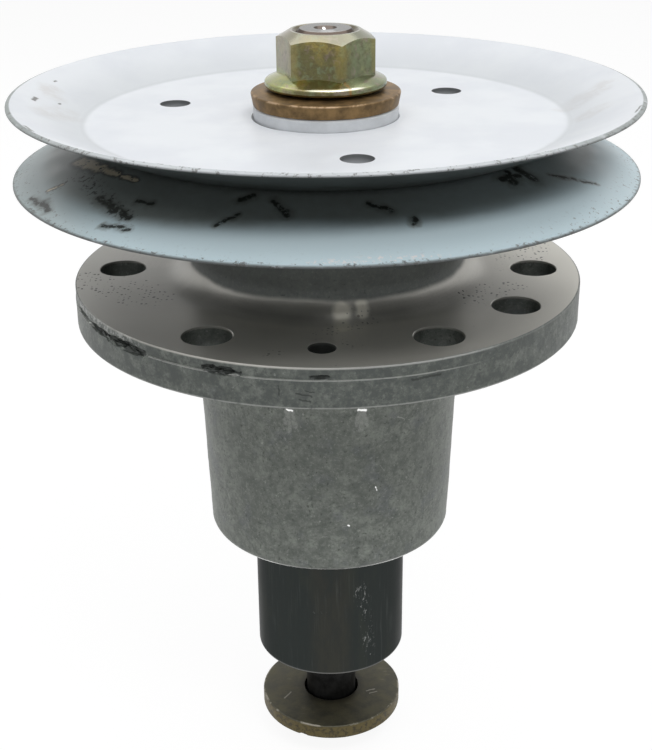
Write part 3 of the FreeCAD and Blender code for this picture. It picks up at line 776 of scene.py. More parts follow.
# %% Flange nut
NUT_SOFTNESS = 0.28
NUT_BORE = 7.9975
NUT_MOUTH = 8.9975
NUT_BOTTOM = 63.8
NUT_HEIGHT = 15.1
NUT_TURN = 50.2
plated_nut = crowned("plated_nut", NUT_HEIGHT, NUT_SOFTNESS, NUT_CROWN)
nut_flange = turned("nut_flange", rounded([
    (0, 0, 0),
    (16.65, 0, 0.8),
    (16.65, 1.9, 0.8),
    (11.4, 4.1, 0),
    (0, 4.1, 0),
]))
carve(plated_nut, nut_flange, "UNION")
nut_bore = turned("nut_bore", sharp(
    (0, -1), (NUT_MOUTH, -1), (NUT_MOUTH, 0), (NUT_BORE, 1),
    (NUT_BORE, NUT_HEIGHT - 1), (NUT_MOUTH, NUT_HEIGHT), (NUT_MOUTH, 16), (0, 16),
))
carve(plated_nut, nut_bore)
moved(plated_nut, z=NUT_BOTTOM, turn=NUT_TURN)
smooth(plated_nut, HEX_EDGE)
stands_for(plated_nut, "flange_nut", "rotor", "yellow_zinc")

# %% Spring disc
worn_disc = turned("worn_disc", rounded([
    (8.2875, 63.8, 0.3),
    (8.2875, 60.1, 0.3),
    (19.9, 58.8, 0.35),
    (20.6, 62.5, 0.5),
]))
smooth(worn_disc)
stands_for(worn_disc, "spring_disc", "rotor", "brown_spring_steel")

# %% Blade bolt
BOLT_SEAT = -138.96
HEAD_HEIGHT = 7.9
HEAD_SOFTNESS = 0.5
BOLT_THREAD = (COARSE_PITCH, 27.5, 13)
bolt_head = crowned("black_bolt", HEAD_HEIGHT, HEAD_SOFTNESS, HEAD_CROWN)
with editing(bolt_head):
    bpy.ops.transform.resize(value=(1, 1, -1), center_override=(0, 0, 0))
    bpy.ops.mesh.normals_make_consistent(inside=False)
bolt_shank = turned("bolt_shank", rounded([
    (0, -2, 0),
    (THREAD_RADIUS, -2, 0),
    (THREAD_RADIUS, 51.96, 0),
    (6.7375, 53.16, 0.3),
    (0, 53.16, 0),
]))
carve(bolt_shank, thread_tool(*BOLT_THREAD))
carve(bolt_head, bolt_shank, "UNION")
black_bolt = moved(bolt_head, z=BOLT_SEAT)
smooth(black_bolt, HEX_EDGE)
stands_for(black_bolt, "blade_bolt", "rotor", "black_bolt_steel")

# %% Blade washer
WASHER_STEP = 1.2
WASHER_EDGE = 40
CHIP_ANGLE = -113
WASHER_RADIUS = 22.25
WASHER_TOP = -134.20
worn_washer = turned("worn_washer", closely(rounded([
    (8.73, BOLT_SEAT, 0.2),
    (WASHER_RADIUS, BOLT_SEAT, 0.45),
    (WASHER_RADIUS, WASHER_TOP, 0.45),
    (8.73, WASHER_TOP, 0.2),
]), WASHER_STEP))
ruffle(worn_washer, "washer_wear", 5.0, 0.10, lambda radius, height: radius > 20.5)
chip = moved(tear("washer_chip", 3.4, 0.9, 1.1), x=22.35, z=-138.9)
carve(worn_washer, moved(chip, turn=CHIP_ANGLE))
smooth(worn_washer, WASHER_EDGE)
stands_for(worn_washer, "blade_washer", "rotor", "olive_washer_steel")

# %% [markdown]
# ## Finishes
#
# Paint, plating and bare metal all vary from one hand's breadth to the next, and a single colour
# looks like plastic. An image could carry that, but it would stick to one view. Every finish here is
# a node material that reads Object coordinates in millimetres, so stains, scratches and turning
# marks have true sizes and stay where they are from every side.

# %% [markdown]
# ### Pulley paint
#
# The pulley is sprayed a cool pale grey. The belt has rubbed a dark film into the groove, thickest
# where it runs, and painted shade deepens it where the upper flare hides the light. The lower face
# has a painted blue of sky light, the corner of the upper flare has painted shade, and a painted black
# line of shade lies in the gap round the hub. The open faces carry black rubber scuffs, tan scrapes
# and a few chips along the rims. Each scuff is a stroke between two points given by angle, radius
# and height, and fraying the coordinates breaks its edge up.

# %% Pulley paint
BELT_PLANE = 52.05
LIP_RADIUS = 84.5
PAINT_PALE = (0.85, 0.88, 0.915, 1)
PAINT_DEEP = (0.79, 0.82, 0.865, 1)
# Painted light: the blue of the sky, laid over the groove face of the lower flare.
PAINTED_SKY_BLUE = (0.74, 0.92, 0.985, 1)
# Painted shade for the inner corner of the upper flare.
CORNER_PAINTED_SHADE = (0.57, 0.60, 0.62, 1)
PAINT_SMUDGE = (0.52, 0.47, 0.43, 1)
# Belt wear and painted shade in the groove, where the upper flare hides the light.
BELT_WEAR_AND_PAINTED_SHADE = (0.29, 0.325, 0.312, 1)
# Greyer on the lower flare's groove face towards the far left end.
LEFT_END_GREY = (0.37, 0.41, 0.385, 1)
# Painted shade for the groove face of the upper flare, which looks down.
UNDERSIDE_PAINTED_SHADE = (0.075, 0.084, 0.08, 1)
RIM_WORN = (0.22, 0.255, 0.24, 1)
RIM_GRIME = (0.085, 0.10, 0.095, 1)
RUBBER_BLACK = (0.014, 0.017, 0.014, 1)
RUBBER_GRIME = (0.11, 0.12, 0.10, 1)
SCRAPE_CREAM = (0.92, 0.84, 0.66, 1)
CHIP_GREY = (0.13, 0.125, 0.115, 1)
GLINT_WHITE = (0.98, 0.99, 1.0, 1)
HOLE_SHADE = (0.10, 0.105, 0.105, 1)
WEB_HOLE_RADIUS = 4.3
WEB_HOLES = [(angle, 45.9) for angle in (41, 161, 281)]
RUBBER_SCUFFS = [
    ((-137.8, 73.6), (-134.6, 74.3), 1.5),
    ((-134.9, 74.0), (-131.0, 75.4), 1.8),
    ((-130.6, 75.2), (-126.8, 76.6), 1.4),
    ((-154.1, 83.0), (-150.5, 82.6), 1.0),
    ((-149.6, 82.0), (-145.2, 82.9), 1.2),
    ((-128.2, 71.1), (-124.8, 71.0), 1.0),
    ((-129.9, 80.9), (-124.4, 79.8), 0.9),
    ((-108.5, 74.3), (-105.7, 70.5), 0.9),
    ((-106.6, 65.7), (-104.0, 64.0), 1.1),
    ((-99.6, 65.3), (-95.9, 69.6), 1.2),
    ((-79.8, 66.4), (-76.1, 69.1), 1.1),
    ((-72.2, 71.9), (-72.8, 73.8), 1.0),
    ((-47.5, 64.6), (-42.0, 65.2), 1.5),
    ((-45.4, 66.4), (-43.8, 63.2), 1.8),
    ((-40.0, 63.2), (-39.2, 67.4), 2.0),
    ((-33.6, 68.4), (-29.0, 73.0), 0.8),
    ((-28.0, 74.0), (-25.4, 77.2), 0.7),
    ((38.0, 72.0), (44.0, 74.5), 1.3),
    ((96.0, 70.5), (101.0, 72.0), 1.4),
    ((142.0, 74.0), (147.0, 77.0), 1.2),
]
RUBBER_SPECKS = [
    ((-152.0, 78.0), (-152.6, 72.5), 2.6),
    ((-152.0, 71.5), (-146.0, 69.5), 3.4),
    ((-145.0, 71.0), (-137.0, 73.0), 4.0),
    ((-136.0, 73.5), (-126.0, 77.0), 3.6),
    ((128.0, 72.0), (140.0, 75.0), 3.6),
]
CREAM_SCRAPES = [
    ((-159.5, 68.4), (-154.5, 67.3), 2.6),
    ((-153.5, 67.0), (-148.5, 66.2), 2.0),
    ((-146.5, 66.0), (-141.5, 65.6), 1.4),
    ((-139.5, 65.6), (-134.5, 65.2), 1.0),
    ((-153.0, 78.5), (-152.0, 75.5), 0.9),
    ((70.0, 67.0), (78.0, 66.5), 1.2),
]
UPPER_SMUDGES = [
    ((-176.0, 70.5), (-170.0, 74.5), 7.0),
    ((5.0, 68.0), (7.5, 72.0), 6.0),
    ((7.5, 76.0), (9.5, 78.5), 5.0),
    ((-8.0, 70.0), (-5.0, 73.5), 5.0),
    ((176.0, 76.0), (172.0, 79.0), 5.0),
]
UPPER_CHIPS = [
    ((-178.9, 79.3), (-176.9, 79.4), 1.0),
    ((178.6, 73.5), (179.1, 73.6), 0.55),
    ((166.5, 80.0), (167.2, 80.2), 0.5),
]
LIP_DIRT = [
    ((-151.0, 83.9), (-146.5, 84.2), 0.7),
    ((-125.0, 84.0), (-114.0, 84.3), 0.55),
    ((-111.0, 84.3), (-106.0, 84.2), 0.4),
    ((-20.0, 83.8), (-15.0, 84.2), 0.5),
]


def groove_line(radius):
    """Height of a groove face above or below the belt's plane."""
    return 0.432 * (radius - 62.03)


def flare_line(radius):
    """Height of a flare's outside face from the belt's plane."""
    return 3.45 + 0.4115 * (radius - 66.03)


def on_flare(marks, line, side, wider=1.0):
    """Marks on one flare, as lines between points in millimetres."""
    lines = []
    for start, end, width in marks:
        ends = [around(*spot, BELT_PLANE + side * line(spot[1])) for spot in (start, end)]
        lines.append((*ends, width * wider))
    return lines


def paint_wear(where, radius, height, upward, cloud, colour):
    """Groove wear with painted shade, painted sky light, painted corner shade and a worn rim."""
    side = maths("SIGN", less(height, BELT_PLANE))
    facing = times(side, upward)
    looks_in = window(facing, -0.15, -0.6)
    on_top = times(window(facing, 0.3, 0.7), window(side, -0.5, 0.5))
    # Painted shade on the upper flare, darkest just outside its bend and fading outwards.
    flare_painted_shade = times(window(radius, 64.6, 66.6), window(radius, 84.0, 66.0), on_top)
    # The groove face of the lower flare, which takes the painted sky light.
    outer = times(looks_in, window(side, 0.5, -0.5))
    across = parts(where)[0]
    # The dark band is belt wear and painted shade: it reaches further out on the left, is lighter on the
    # right and fades at the far left end.
    left = window(across, -8.0, -46.0)
    reach = less(radius, times(left, 4.4))
    ragged_reach = maths("ADD", reach, times(cloud, 5.0))
    belt_wear_and_shade = window(ragged_reach, 77.4, 72.4)
    # The upper flare, whose groove face is laid almost wholly with painted shade over its belt wear.
    under = window(side, -0.5, 0.5)
    right = window(across, 6.0, 48.0)
    belt_wear_and_shade = times(belt_wear_and_shade, less(1.0, times(right, 0.3)))
    left_end = window(across, -46.0, -74.0)
    far_left = times(window(across, -52.0, -78.0), 0.45)
    belt_wear_and_shade = times(belt_wear_and_shade, less(1.0, far_left))
    rubbed = scaled(noise(where, 3.0, 5.0, 0.7), 0.24, 0.8)
    # Painted shade in a thin line along the bend between web and flare.
    bend_painted_shade = times(band(radius, 65.6, 66.8, 0.6), on_top)
    rim = window(radius, LIP_RADIUS - 0.1, LIP_RADIUS + 0.35)
    worn = window(noise(where, 6.0, 5.0, 0.65), 0.1, 0.5)
    ends = window(maths("ABSOLUTE", across), 40.0, 76.0)
    top_edge = times(rim, worn, window(side, -0.5, 0.5))
    low_edge = times(rim, worn, window(height, BELT_PLANE - 9.9, BELT_PLANE - 10.2))
    dots = window(noise(where, 1.1, 4.0, 0.65), 0.60, 0.65)
    dots = times(dots, looks_in, window(radius, 78.0, 84.0), maths("ADD", ends, 0.12))
    colour = stack(
        colour,
        (CORNER_PAINTED_SHADE, flare_painted_shade, 0.5),
        (PAINTED_SKY_BLUE, outer, 0.9),
        (LEFT_END_GREY, outer, left_end, 0.6),
        (BELT_WEAR_AND_PAINTED_SHADE, looks_in, belt_wear_and_shade, rubbed),
        (UNDERSIDE_PAINTED_SHADE, looks_in, under, 0.98),
        (CORNER_PAINTED_SHADE, bend_painted_shade, 0.3),
        (RIM_WORN, top_edge, scaled(ends, 0.5, 0.35)),
        (RIM_GRIME, low_edge, 0.85),
        (CHIP_GREY, dots, 0.75),
    )
    return colour, rim


def pulley_paint():
    new_finish("pulley_paint", 0.0)
    where, radius, height, upward = places()
    cloud = noise(where, 22.0, 5.0)
    colour = lay(PAINT_DEEP, PAINT_PALE, window(cloud, 0.36, 0.64))
    ragged = frayed(where, 3.0, 2.6)
    fine = frayed(where, 1.2, 0.9)
    broken = window(noise(where, 1.7, 5.0, 0.75), 0.38, 0.47)
    soft = window(noise(where, 5.0, 5.0, 0.65), 0.26, 0.66)
    smudges = strokes(ragged, on_flare(UPPER_SMUDGES, flare_line, 1))
    colour = lay(colour, PAINT_SMUDGE, smudges, soft, 0.34)
    colour, rim = paint_wear(where, radius, height, upward, cloud, colour)
    # Painted shade: a black line in the gap between the hub and the web, on the left side only.
    hub_gap_shade = times(band(radius, 19.9, 20.5, 0.15), window(upward, 0.7, 0.9))
    hub_gap_shade = times(hub_gap_shade, window(side_on(where, -166.0), 13.0, 18.0))
    walls = hole_walls(where, WEB_HOLES, WEB_HOLE_RADIUS)
    deep = window(height, 53.2, 55.0)
    grime = strokes(ragged, on_flare(RUBBER_SCUFFS, groove_line, -1, 2.2))
    outline = strokes(ragged, on_flare(CREAM_SCRAPES, groove_line, -1, 1.7))
    scrapes = strokes(ragged, on_flare(CREAM_SCRAPES, groove_line, -1))
    scuffs = strokes(ragged, on_flare(RUBBER_SCUFFS, groove_line, -1))
    specks = strokes(ragged, on_flare(RUBBER_SPECKS, groove_line, -1))
    specks = times(specks, window(noise(where, 1.2, 4.0, 0.65), 0.54, 0.60))
    dirt = strokes(fine, on_flare(LIP_DIRT, flare_line, 1))
    glint = times(band(radius, 82.4, 84.6, 0.5), window(side_on(where, -81.0), 82.0, 83.4))
    sparkle = window(noise(where, 1.1, 4.0, 0.7), 0.52, 0.60)
    chips = strokes(fine, on_flare(UPPER_CHIPS, flare_line, 1))
    nicks = times(rim, window(noise(where, 1.6, 5.0, 0.7), 0.55, 0.62), 0.85)
    bare = either(chips, nicks)
    peel = noise(where, 0.9, 2.0)
    relief = less(times(peel, 0.25), bare)
    gloss = window(noise(where, 9.0, 4.0), 0.2, 0.8)
    roughness = scaled(gloss, 0.14, 0.34)
    colour = stack(
        colour,
        (RUBBER_BLACK, hub_gap_shade, 0.9),
        (HOLE_SHADE, walls, scaled(deep, 0.5, 0.36)),
        (RUBBER_GRIME, grime, soft, 0.6),
        (RUBBER_BLACK, outline, 0.8),
        (SCRAPE_CREAM, scrapes, broken, 0.95),
        (RUBBER_BLACK, scuffs, broken, 0.97),
        (RUBBER_BLACK, specks, 0.85),
        (RUBBER_GRIME, dirt, broken, 0.85),
        (GLINT_WHITE, glint, sparkle, window(height, 46.0, 45.0)),
        (CHIP_GREY, bare, 0.9),
    )
    return dress(colour, roughness, relief, 0.05)


paint = pulley_paint()
print("scuffs, scrapes and chips:", len(RUBBER_SCUFFS) + len(CREAM_SCRAPES) + len(UPPER_CHIPS))

# %% [markdown]
# ### Cast and turned aluminium
#
# The flange's top and its fillet are turned bright and mirror the pulley above them, with fine rings
# and a few pores where the casting was opened. The neck, the rim and the body keep the grey skin of
# the mould: mottled, streaked along the draw and duller. Height and distance from the axis tell the
# two apart. Some light and shade is painted in: the turned face is lighter at the front and the right
# back and darker at the left and across the fillet's front. There are painted highlights on the
# fillet, the rim's edges and the body, and painted shade in the tears and holes.

# %% Housing finish
TURNED_PALE = (0.50, 0.485, 0.45, 1)
TURNED_DEEP = (0.35, 0.345, 0.315, 1)
# Painted shade for the front of the fillet.
FRONT_PAINTED_SHADE = (0.11, 0.11, 0.095, 1)
# Painted light for the turned face.
TURNED_PAINTED_LIGHT = (0.76, 0.74, 0.67, 1)
SKIN_PALE = (0.34, 0.365, 0.328, 1)
SKIN_DEEP = (0.148, 0.165, 0.148, 1)
SKIN_LIGHT = (0.50, 0.53, 0.48, 1)
SKIN_BLUE = (0.175, 0.19, 0.205, 1)
SKIN_SPECK = (0.075, 0.084, 0.075, 1)
NECK_SKIN = (0.075, 0.083, 0.08, 1)
RIM_SKIN = (0.105, 0.118, 0.111, 1)
# Dark for scratches on the rim, and painted shade in the tears and holes.
DARK_GRAZE_AND_PAINTED_SHADE = (0.035, 0.04, 0.037, 1)
PORE_DARK = (0.025, 0.026, 0.023, 1)
# Pale for specks, scratches and smears, and for painted highlights along the rim's edges.
PALE_MARK_AND_PAINTED_HIGHLIGHT = (0.74, 0.75, 0.72, 1)
# White for painted glints and a painted highlight along the body's foot.
PAINTED_HIGHLIGHT_WHITE = (0.97, 0.98, 0.96, 1)
# A warm painted highlight, laid on the front of the fillet.
WARM_PAINTED_HIGHLIGHT = (0.88, 0.85, 0.74, 1)
NECK_FOOT = 15.6
FLASH_FANS = [(-104.8, -14.5), (-74.7, -14.5), (64.0, -4.0), (151.0, -4.0)]
# Painted glints on the body, given by angle, radius and height.
PAINTED_GLINT_SPOTS = [
    ((-106.0, 37.8, -16.6), (-103.8, 37.8, -16.8), 0.5),
    ((-76.2, 37.8, -16.6), (-73.0, 37.8, -16.8), 0.6),
    ((-68.0, 37.0, -41.5), (-67.4, 37.0, -42.6), 0.28),
    ((-80.5, 36.7, -53.0), (-79.6, 36.7, -53.2), 0.28),
]
BODY_SCRATCHES = [
    ((-142.6, 36.9, -49.5), (-140.5, 36.8, -53.0), 0.3),
    ((-128.0, 36.9, -50.0), (-127.0, 36.8, -56.0), 0.24),
    ((-66.0, 37.2, -35.0), (-64.0, 37.1, -37.0), 0.28),
    ((-83.0, 36.9, -53.5), (-77.0, 36.9, -53.0), 0.28),
    ((-58.0, 37.6, -21.0), (-52.0, 37.5, -23.0), 0.22),
    ((12.0, 37.2, -34.0), (18.0, 37.0, -41.0), 0.3),
    ((118.0, 37.0, -44.0), (124.0, 36.8, -49.0), 0.3),
]
RIM_SCRATCHES = [
    ((-98.3, 71.7, 6.2), (-98.2, 71.7, 3.8), 0.26),
    ((-94.8, 71.7, 4.3), (-91.8, 71.7, 3.7), 0.34),
    ((-94.2, 71.7, 2.7), (-92.0, 71.7, 2.3), 0.3),
    ((-93.2, 71.7, 5.2), (-91.4, 71.7, 4.8), 0.26),
    ((-72.0, 71.7, 6.6), (-66.0, 71.7, 6.9), 0.5),
    ((35.0, 71.7, 3.0), (38.0, 71.7, 5.2), 0.3),
]
# Two painted highlights on the fillet's front, given by angle, radius and height.
FILLET_PAINTED_HIGHLIGHTS = [
    ((-83.2, 40.4, 13.9), (-84.0, 46.5, 11.2), 3.2),
    ((-75.6, 39.9, 14.6), (-76.0, 41.6, 12.9), 2.4),
]
BOLT_HOLE_SPOTS = [(angle, BOLT_CIRCLE) for angle in BOLT_ANGLES]
PORE_PATCHES = [
    ((-170.0, 66.0, RIM_TOP), (-155.0, 54.0, RIM_TOP), 11.0),
    ((12.0, 60.0, RIM_TOP), (22.0, 66.0, RIM_TOP), 7.0),
    ((-31.0, 46.5, RIM_TOP), (-16.0, 53.0, RIM_TOP), 6.0),
    ((84.0, 62.0, RIM_TOP), (98.0, 55.0, RIM_TOP), 8.0),
    ((140.0, 52.0, RIM_TOP), (150.0, 64.0, RIM_TOP), 7.0),
]


def from_spots(marks):
    """Marks given by angle, radius and height, as lines between points."""
    return [(around(*start), around(*end), width) for start, end, width in marks]


def marked(where, grain, reach, marks):
    """Marks given by angle, radius and height, drawn with a frayed edge."""
    return strokes(frayed(where, grain, reach), from_spots(marks))


def fans(feet):
    """Three short lines that spread downwards from each foot, as flash smeared by the draw."""
    lines = []
    for angle, top in feet:
        for spread, fall in ((-2.4, 6.5), (-0.4, 8.5), (2.2, 7.0)):
            lines.append(((angle, 37.9, top), (angle + spread, 37.5, top - fall), 1.0))
    return lines


def pores(where, cell):
    """Round pits of uneven size, one at most in each cell."""
    cells = put("ShaderNodeTexVoronoi", {"Vector": where, "Scale": 1 / cell}, voronoi_dimensions="2D")
    luck = parts(cells.outputs["Color"])[0]
    size = less(times(luck, 0.50), 0.18)
    return window(less(cells.outputs["Distance"], size), 0.03, -0.05)


def cast_skin(where, radius, height, mottle):
    """The mould's grey skin, with specks, scratches, smeared flash and a darker rim and neck,
    painted glints and a painted highlight along the foot, and painted shade inside the tears.
    """
    drift = noise(where, 24.0, 3.0)
    skin = lay(SKIN_DEEP, SKIN_PALE, window(mottle, 0.28, 0.72))
    streak = noise(stretched(where, (1.0, 1.0, 0.12)), 1.6, 4.0)
    on_edge = window(radius, 60.0, 70.5)
    drawn = less(0.35, times(on_edge, 0.35))
    bluish = window(noise(where, 9.0, 5.0, 0.6), 0.54, 0.68)
    grit = noise(where, 0.9, 6.0, 0.8)
    speck = window(noise(where, 0.9, 3.0, 0.6), 0.62, 0.70)
    bright = window(noise(where, 1.3, 4.0, 0.6), 0.34, 0.27)
    blotch = noise(where, 4.0, 6.0, 0.75)
    cover = scaled(window(blotch, 0.60, 0.40), 0.62, 0.3)
    grazes = marked(where, 1.4, 0.9, RIM_SCRATCHES)
    neck = window(height, NECK_FOOT - 2.0, NECK_FOOT)
    smears = marked(where, 1.6, 1.6, fans(FLASH_FANS))
    glints = marked(where, 1.2, 0.8, PAINTED_GLINT_SPOTS)
    lines = marked(where, 2.5, 0.7, BODY_SCRATCHES)
    # Painted highlight along the body's bottom edge. It and the painted glints are made metallic below.
    foot = times(window(height, -67.5, -67.9), window(radius, 33.4, 34.0))
    foot = times(foot, window(grit, 0.30, 0.50))
    bare = either(foot, glints)
    # Painted shade inside the torn hollows of the rim.
    inside = times(band(radius, 68.6, 71.02, 0.06), band(height, 1.0, 10.2, 0.3))
    skin = stack(
        skin,
        (SKIN_DEEP, window(drift, 0.42, 0.68), 0.4),
        (SKIN_PALE, window(streak, 0.52, 0.74), drawn),
        (SKIN_BLUE, bluish, 0.5),
        (SKIN_DEEP, window(grit, 0.5, 0.62), 0.6),
        (SKIN_LIGHT, window(grit, 0.46, 0.34), 0.6),
        (SKIN_SPECK, speck, 0.75),
        (PALE_MARK_AND_PAINTED_HIGHLIGHT, bright, 0.5),
        (RIM_SKIN, on_edge, cover),
        (DARK_GRAZE_AND_PAINTED_SHADE, grazes, 0.75),
        (NECK_SKIN, neck, 0.8),
        (PALE_MARK_AND_PAINTED_HIGHLIGHT, smears, window(grit, 0.40, 0.56), 0.42),
        (PAINTED_HIGHLIGHT_WHITE, glints),
        (PALE_MARK_AND_PAINTED_HIGHLIGHT, lines, 0.45),
        (PAINTED_HIGHLIGHT_WHITE, foot, 0.9),
        (DARK_GRAZE_AND_PAINTED_SHADE, inside, 0.85),
    )
    return skin, speck, bare


def housing_finish():
    new_finish("cast_aluminium", 0.0)
    where, radius, height, upward = places()
    cloud = noise(where, 26.0, 5.0)
    above = window(height, RIM_TOP - 0.8, RIM_TOP - 0.2)
    waved = maths("ADD", height, times(cloud, 3.0))
    foot = window(waved, NECK_FOOT + 2.6, NECK_FOOT + 1.0)
    turned_share = times(above, foot, window(radius, 71.5, 71.2))
    underside = times(window(upward, -0.9, -0.98), 0.8)
    turned_share = either(turned_share, underside)
    section = put("ShaderNodeCombineXYZ", {0: radius, 1: height}).outputs[0]
    rings = noise(section, 0.55, 3.0)
    bright = lay(TURNED_DEEP, TURNED_PALE, window(cloud, 0.3, 0.7))
    dusty = window(noise(where, 0.7, 4.0, 0.7), 0.5, 0.7)
    forward = parts(where)[1]
    # Painted shade across the front of the fillet, just above the flange's top.
    front_fillet_shade = times(window(height, RIM_TOP + 0.3, RIM_TOP + 1.5), window(forward, -29.0, -38.0))
    # Painted light on the turned face at the front, under the pulley, and at the right back.
    front_painted_light = times(window(forward, -20.0, -42.0), window(radius, 42.0, 47.0))
    right_back_painted_light = window(side_on(where, 15.0), 24.0, 62.0)
    # Painted shade on the turned face at the left side.
    left_painted_shade = window(side_on(where, -160.0), 34.0, 66.0)
    # The painted highlights on the fillet.
    rubbed = marked(where, 3.0, 1.6, FILLET_PAINTED_HIGHLIGHTS)
    patches = marked(where, 9.0, 8.0, PORE_PATCHES)
    stray = times(window(noise(where, 15.0, 2.0), 0.62, 0.72), 0.6)
    crowd = either(window(patches, 0.05, 0.5), stray)
    pits = times(pores(where, 1.3), crowd, above, window(upward, 0.3, 0.6))
    mottle = noise(where, 3.4, 6.0, 0.66)
    skin, speck, bare = cast_skin(where, radius, height, mottle)
    bright = stack(
        bright,
        (TURNED_DEEP, window(rings, 0.45, 0.75), 0.25),
        (TURNED_DEEP, dusty, 0.45),
        (FRONT_PAINTED_SHADE, front_fillet_shade, 0.42),
        (TURNED_PAINTED_LIGHT, front_painted_light, 0.75),
        (TURNED_PAINTED_LIGHT, right_back_painted_light, 0.95),
        (TURNED_DEEP, left_painted_shade, 0.75),
        (WARM_PAINTED_HIGHLIGHT, rubbed, 0.75),
    )
    colour = lay(skin, bright, turned_share)
    # Painted highlight along the rim's top edge, strongest at the front, where it is chipped.
    corner = times(window(radius, 71.1, 71.5), band(height, 10.6, 11.2, 0.2))
    lit = scaled(window(forward, -52.0, -66.0), 0.6, 0.12)
    chipped = window(noise(where, 2.6, 4.0, 0.65), 0.26, 0.46)
    torn_side = window(side_on(where, -147.0), 67.0, 70.5)
    flaked = times(torn_side, band(height, 8.8, 11.0, 0.5), window(radius, 70.6, 71.1))
    flaked = times(flaked, window(noise(where, 1.3, 5.0, 0.75), 0.46, 0.58))
    # Painted highlight on the edge of the ledge that the off-centre cut left.
    ledge = times(window(radius, 70.9, 71.2), band(height, 7.6, 7.86, 0.1))
    ledge = times(ledge, window(side_on(where, LEDGE_ANGLE), 34.0, 50.0), chipped)
    low = times(window(radius, 71.0, 71.4), window(height, 0.75, 0.35))
    # Painted shade on the walls of the bolt holes and the vent.
    walls = times(hole_walls(where, BOLT_HOLE_SPOTS, BOLT_HOLE + 0.05), 0.4)
    vent = times(hole_walls(where, [(VENT_ANGLE, BOLT_CIRCLE)], VENT_HOLE + 0.05), 0.9)
    metal = scaled(turned_share, 0.27, 0.33)
    metal = either(metal, bare)
    wire("Metallic", metal)
    dull = scaled(mottle, 0.22, 0.36)
    dull = less(dull, times(bare, 0.25))
    sheen = scaled(cloud, 0.16, 0.28)
    roughness = put("ShaderNodeMix", {0: turned_share, 2: dull, 3: sheen}).outputs[0]
    grain = maths("ADD", mottle, times(speck, -0.4))
    relief = put("ShaderNodeMix", {0: turned_share, 2: grain, 3: times(rings, 0.18)}).outputs[0]
    relief = less(relief, times(pits, 0.9))
    colour = stack(
        colour,
        (PALE_MARK_AND_PAINTED_HIGHLIGHT, corner, chipped, lit),
        (PALE_MARK_AND_PAINTED_HIGHLIGHT, flaked, 0.6),
        (PALE_MARK_AND_PAINTED_HIGHLIGHT, ledge, 0.6),
        (PALE_MARK_AND_PAINTED_HIGHLIGHT, low, chipped, 0.6),
        (DARK_GRAZE_AND_PAINTED_SHADE, either(walls, vent)),
        (PORE_DARK, pits, 0.92),
    )
    return dress(colour, roughness, relief, 0.12)


aluminium = housing_finish()
print("scratches and smears:", len(BODY_SCRATCHES) + len(FLASH_FANS))

# %% [markdown]
# ### Steel finishes
#
# The boss of the shaft is blackened steel with fine lengthwise scratches, its threaded end is ground
# bright with painted glints, the nut wears yellow zinc that shifts between gold, green and rose, with
# painted light on its sides and a painted highlight on its flange, the spring disc is a brown
# phosphate with a painted highlight along its edge, and the washer is olive with a rusty rim.

# %% Shaft finish
SHAFT_BLACK = (0.031, 0.036, 0.0345, 1)
SHAFT_WORN = (0.075, 0.083, 0.08, 1)
SHAFT_OLIVE = (0.045, 0.05, 0.04, 1)
SHAFT_FLECK = (0.42, 0.43, 0.42, 1)
SHAFT_BRIGHT = (0.55, 0.545, 0.53, 1)
SHAFT_TARNISH = (0.17, 0.14, 0.10, 1)
# Tarnish with painted shade in the gap round the shaft's end, and painted shade in its centre hole.
GAP_TARNISH_AND_PAINTED_SHADE = (0.06, 0.034, 0.02, 1)
SHAFT_BROWN = (0.058, 0.05, 0.038, 1)
EDGE_TINT = (0.45, 0.45, 0.45, 1)
# White for painted glints on the end face and in its centre hole.
END_WHITE = (0.98, 0.98, 0.98, 1)
END_GLINTS = [
    ((-88.0, 5.2, 79.3), (-76.0, 5.4, 79.3), 2.0),
    ((100.0, 2.6, 78.6), (96.0, 2.2, 78.2), 0.55),
]
BOSS_FLECKS = [
    ((-66.0, 23.0, -84.0), (-60.0, 23.0, -92.0), 3.2),
    ((-61.0, 23.0, -92.0), (-57.0, 23.0, -108.0), 2.6),
    ((-100.0, 23.0, -91.0), (-92.0, 23.0, -92.0), 1.2),
    ((40.0, 23.0, -88.0), (44.0, 23.0, -104.0), 3.0),
    ((150.0, 23.0, -78.0), (146.0, 23.0, -96.0), 3.0),
]


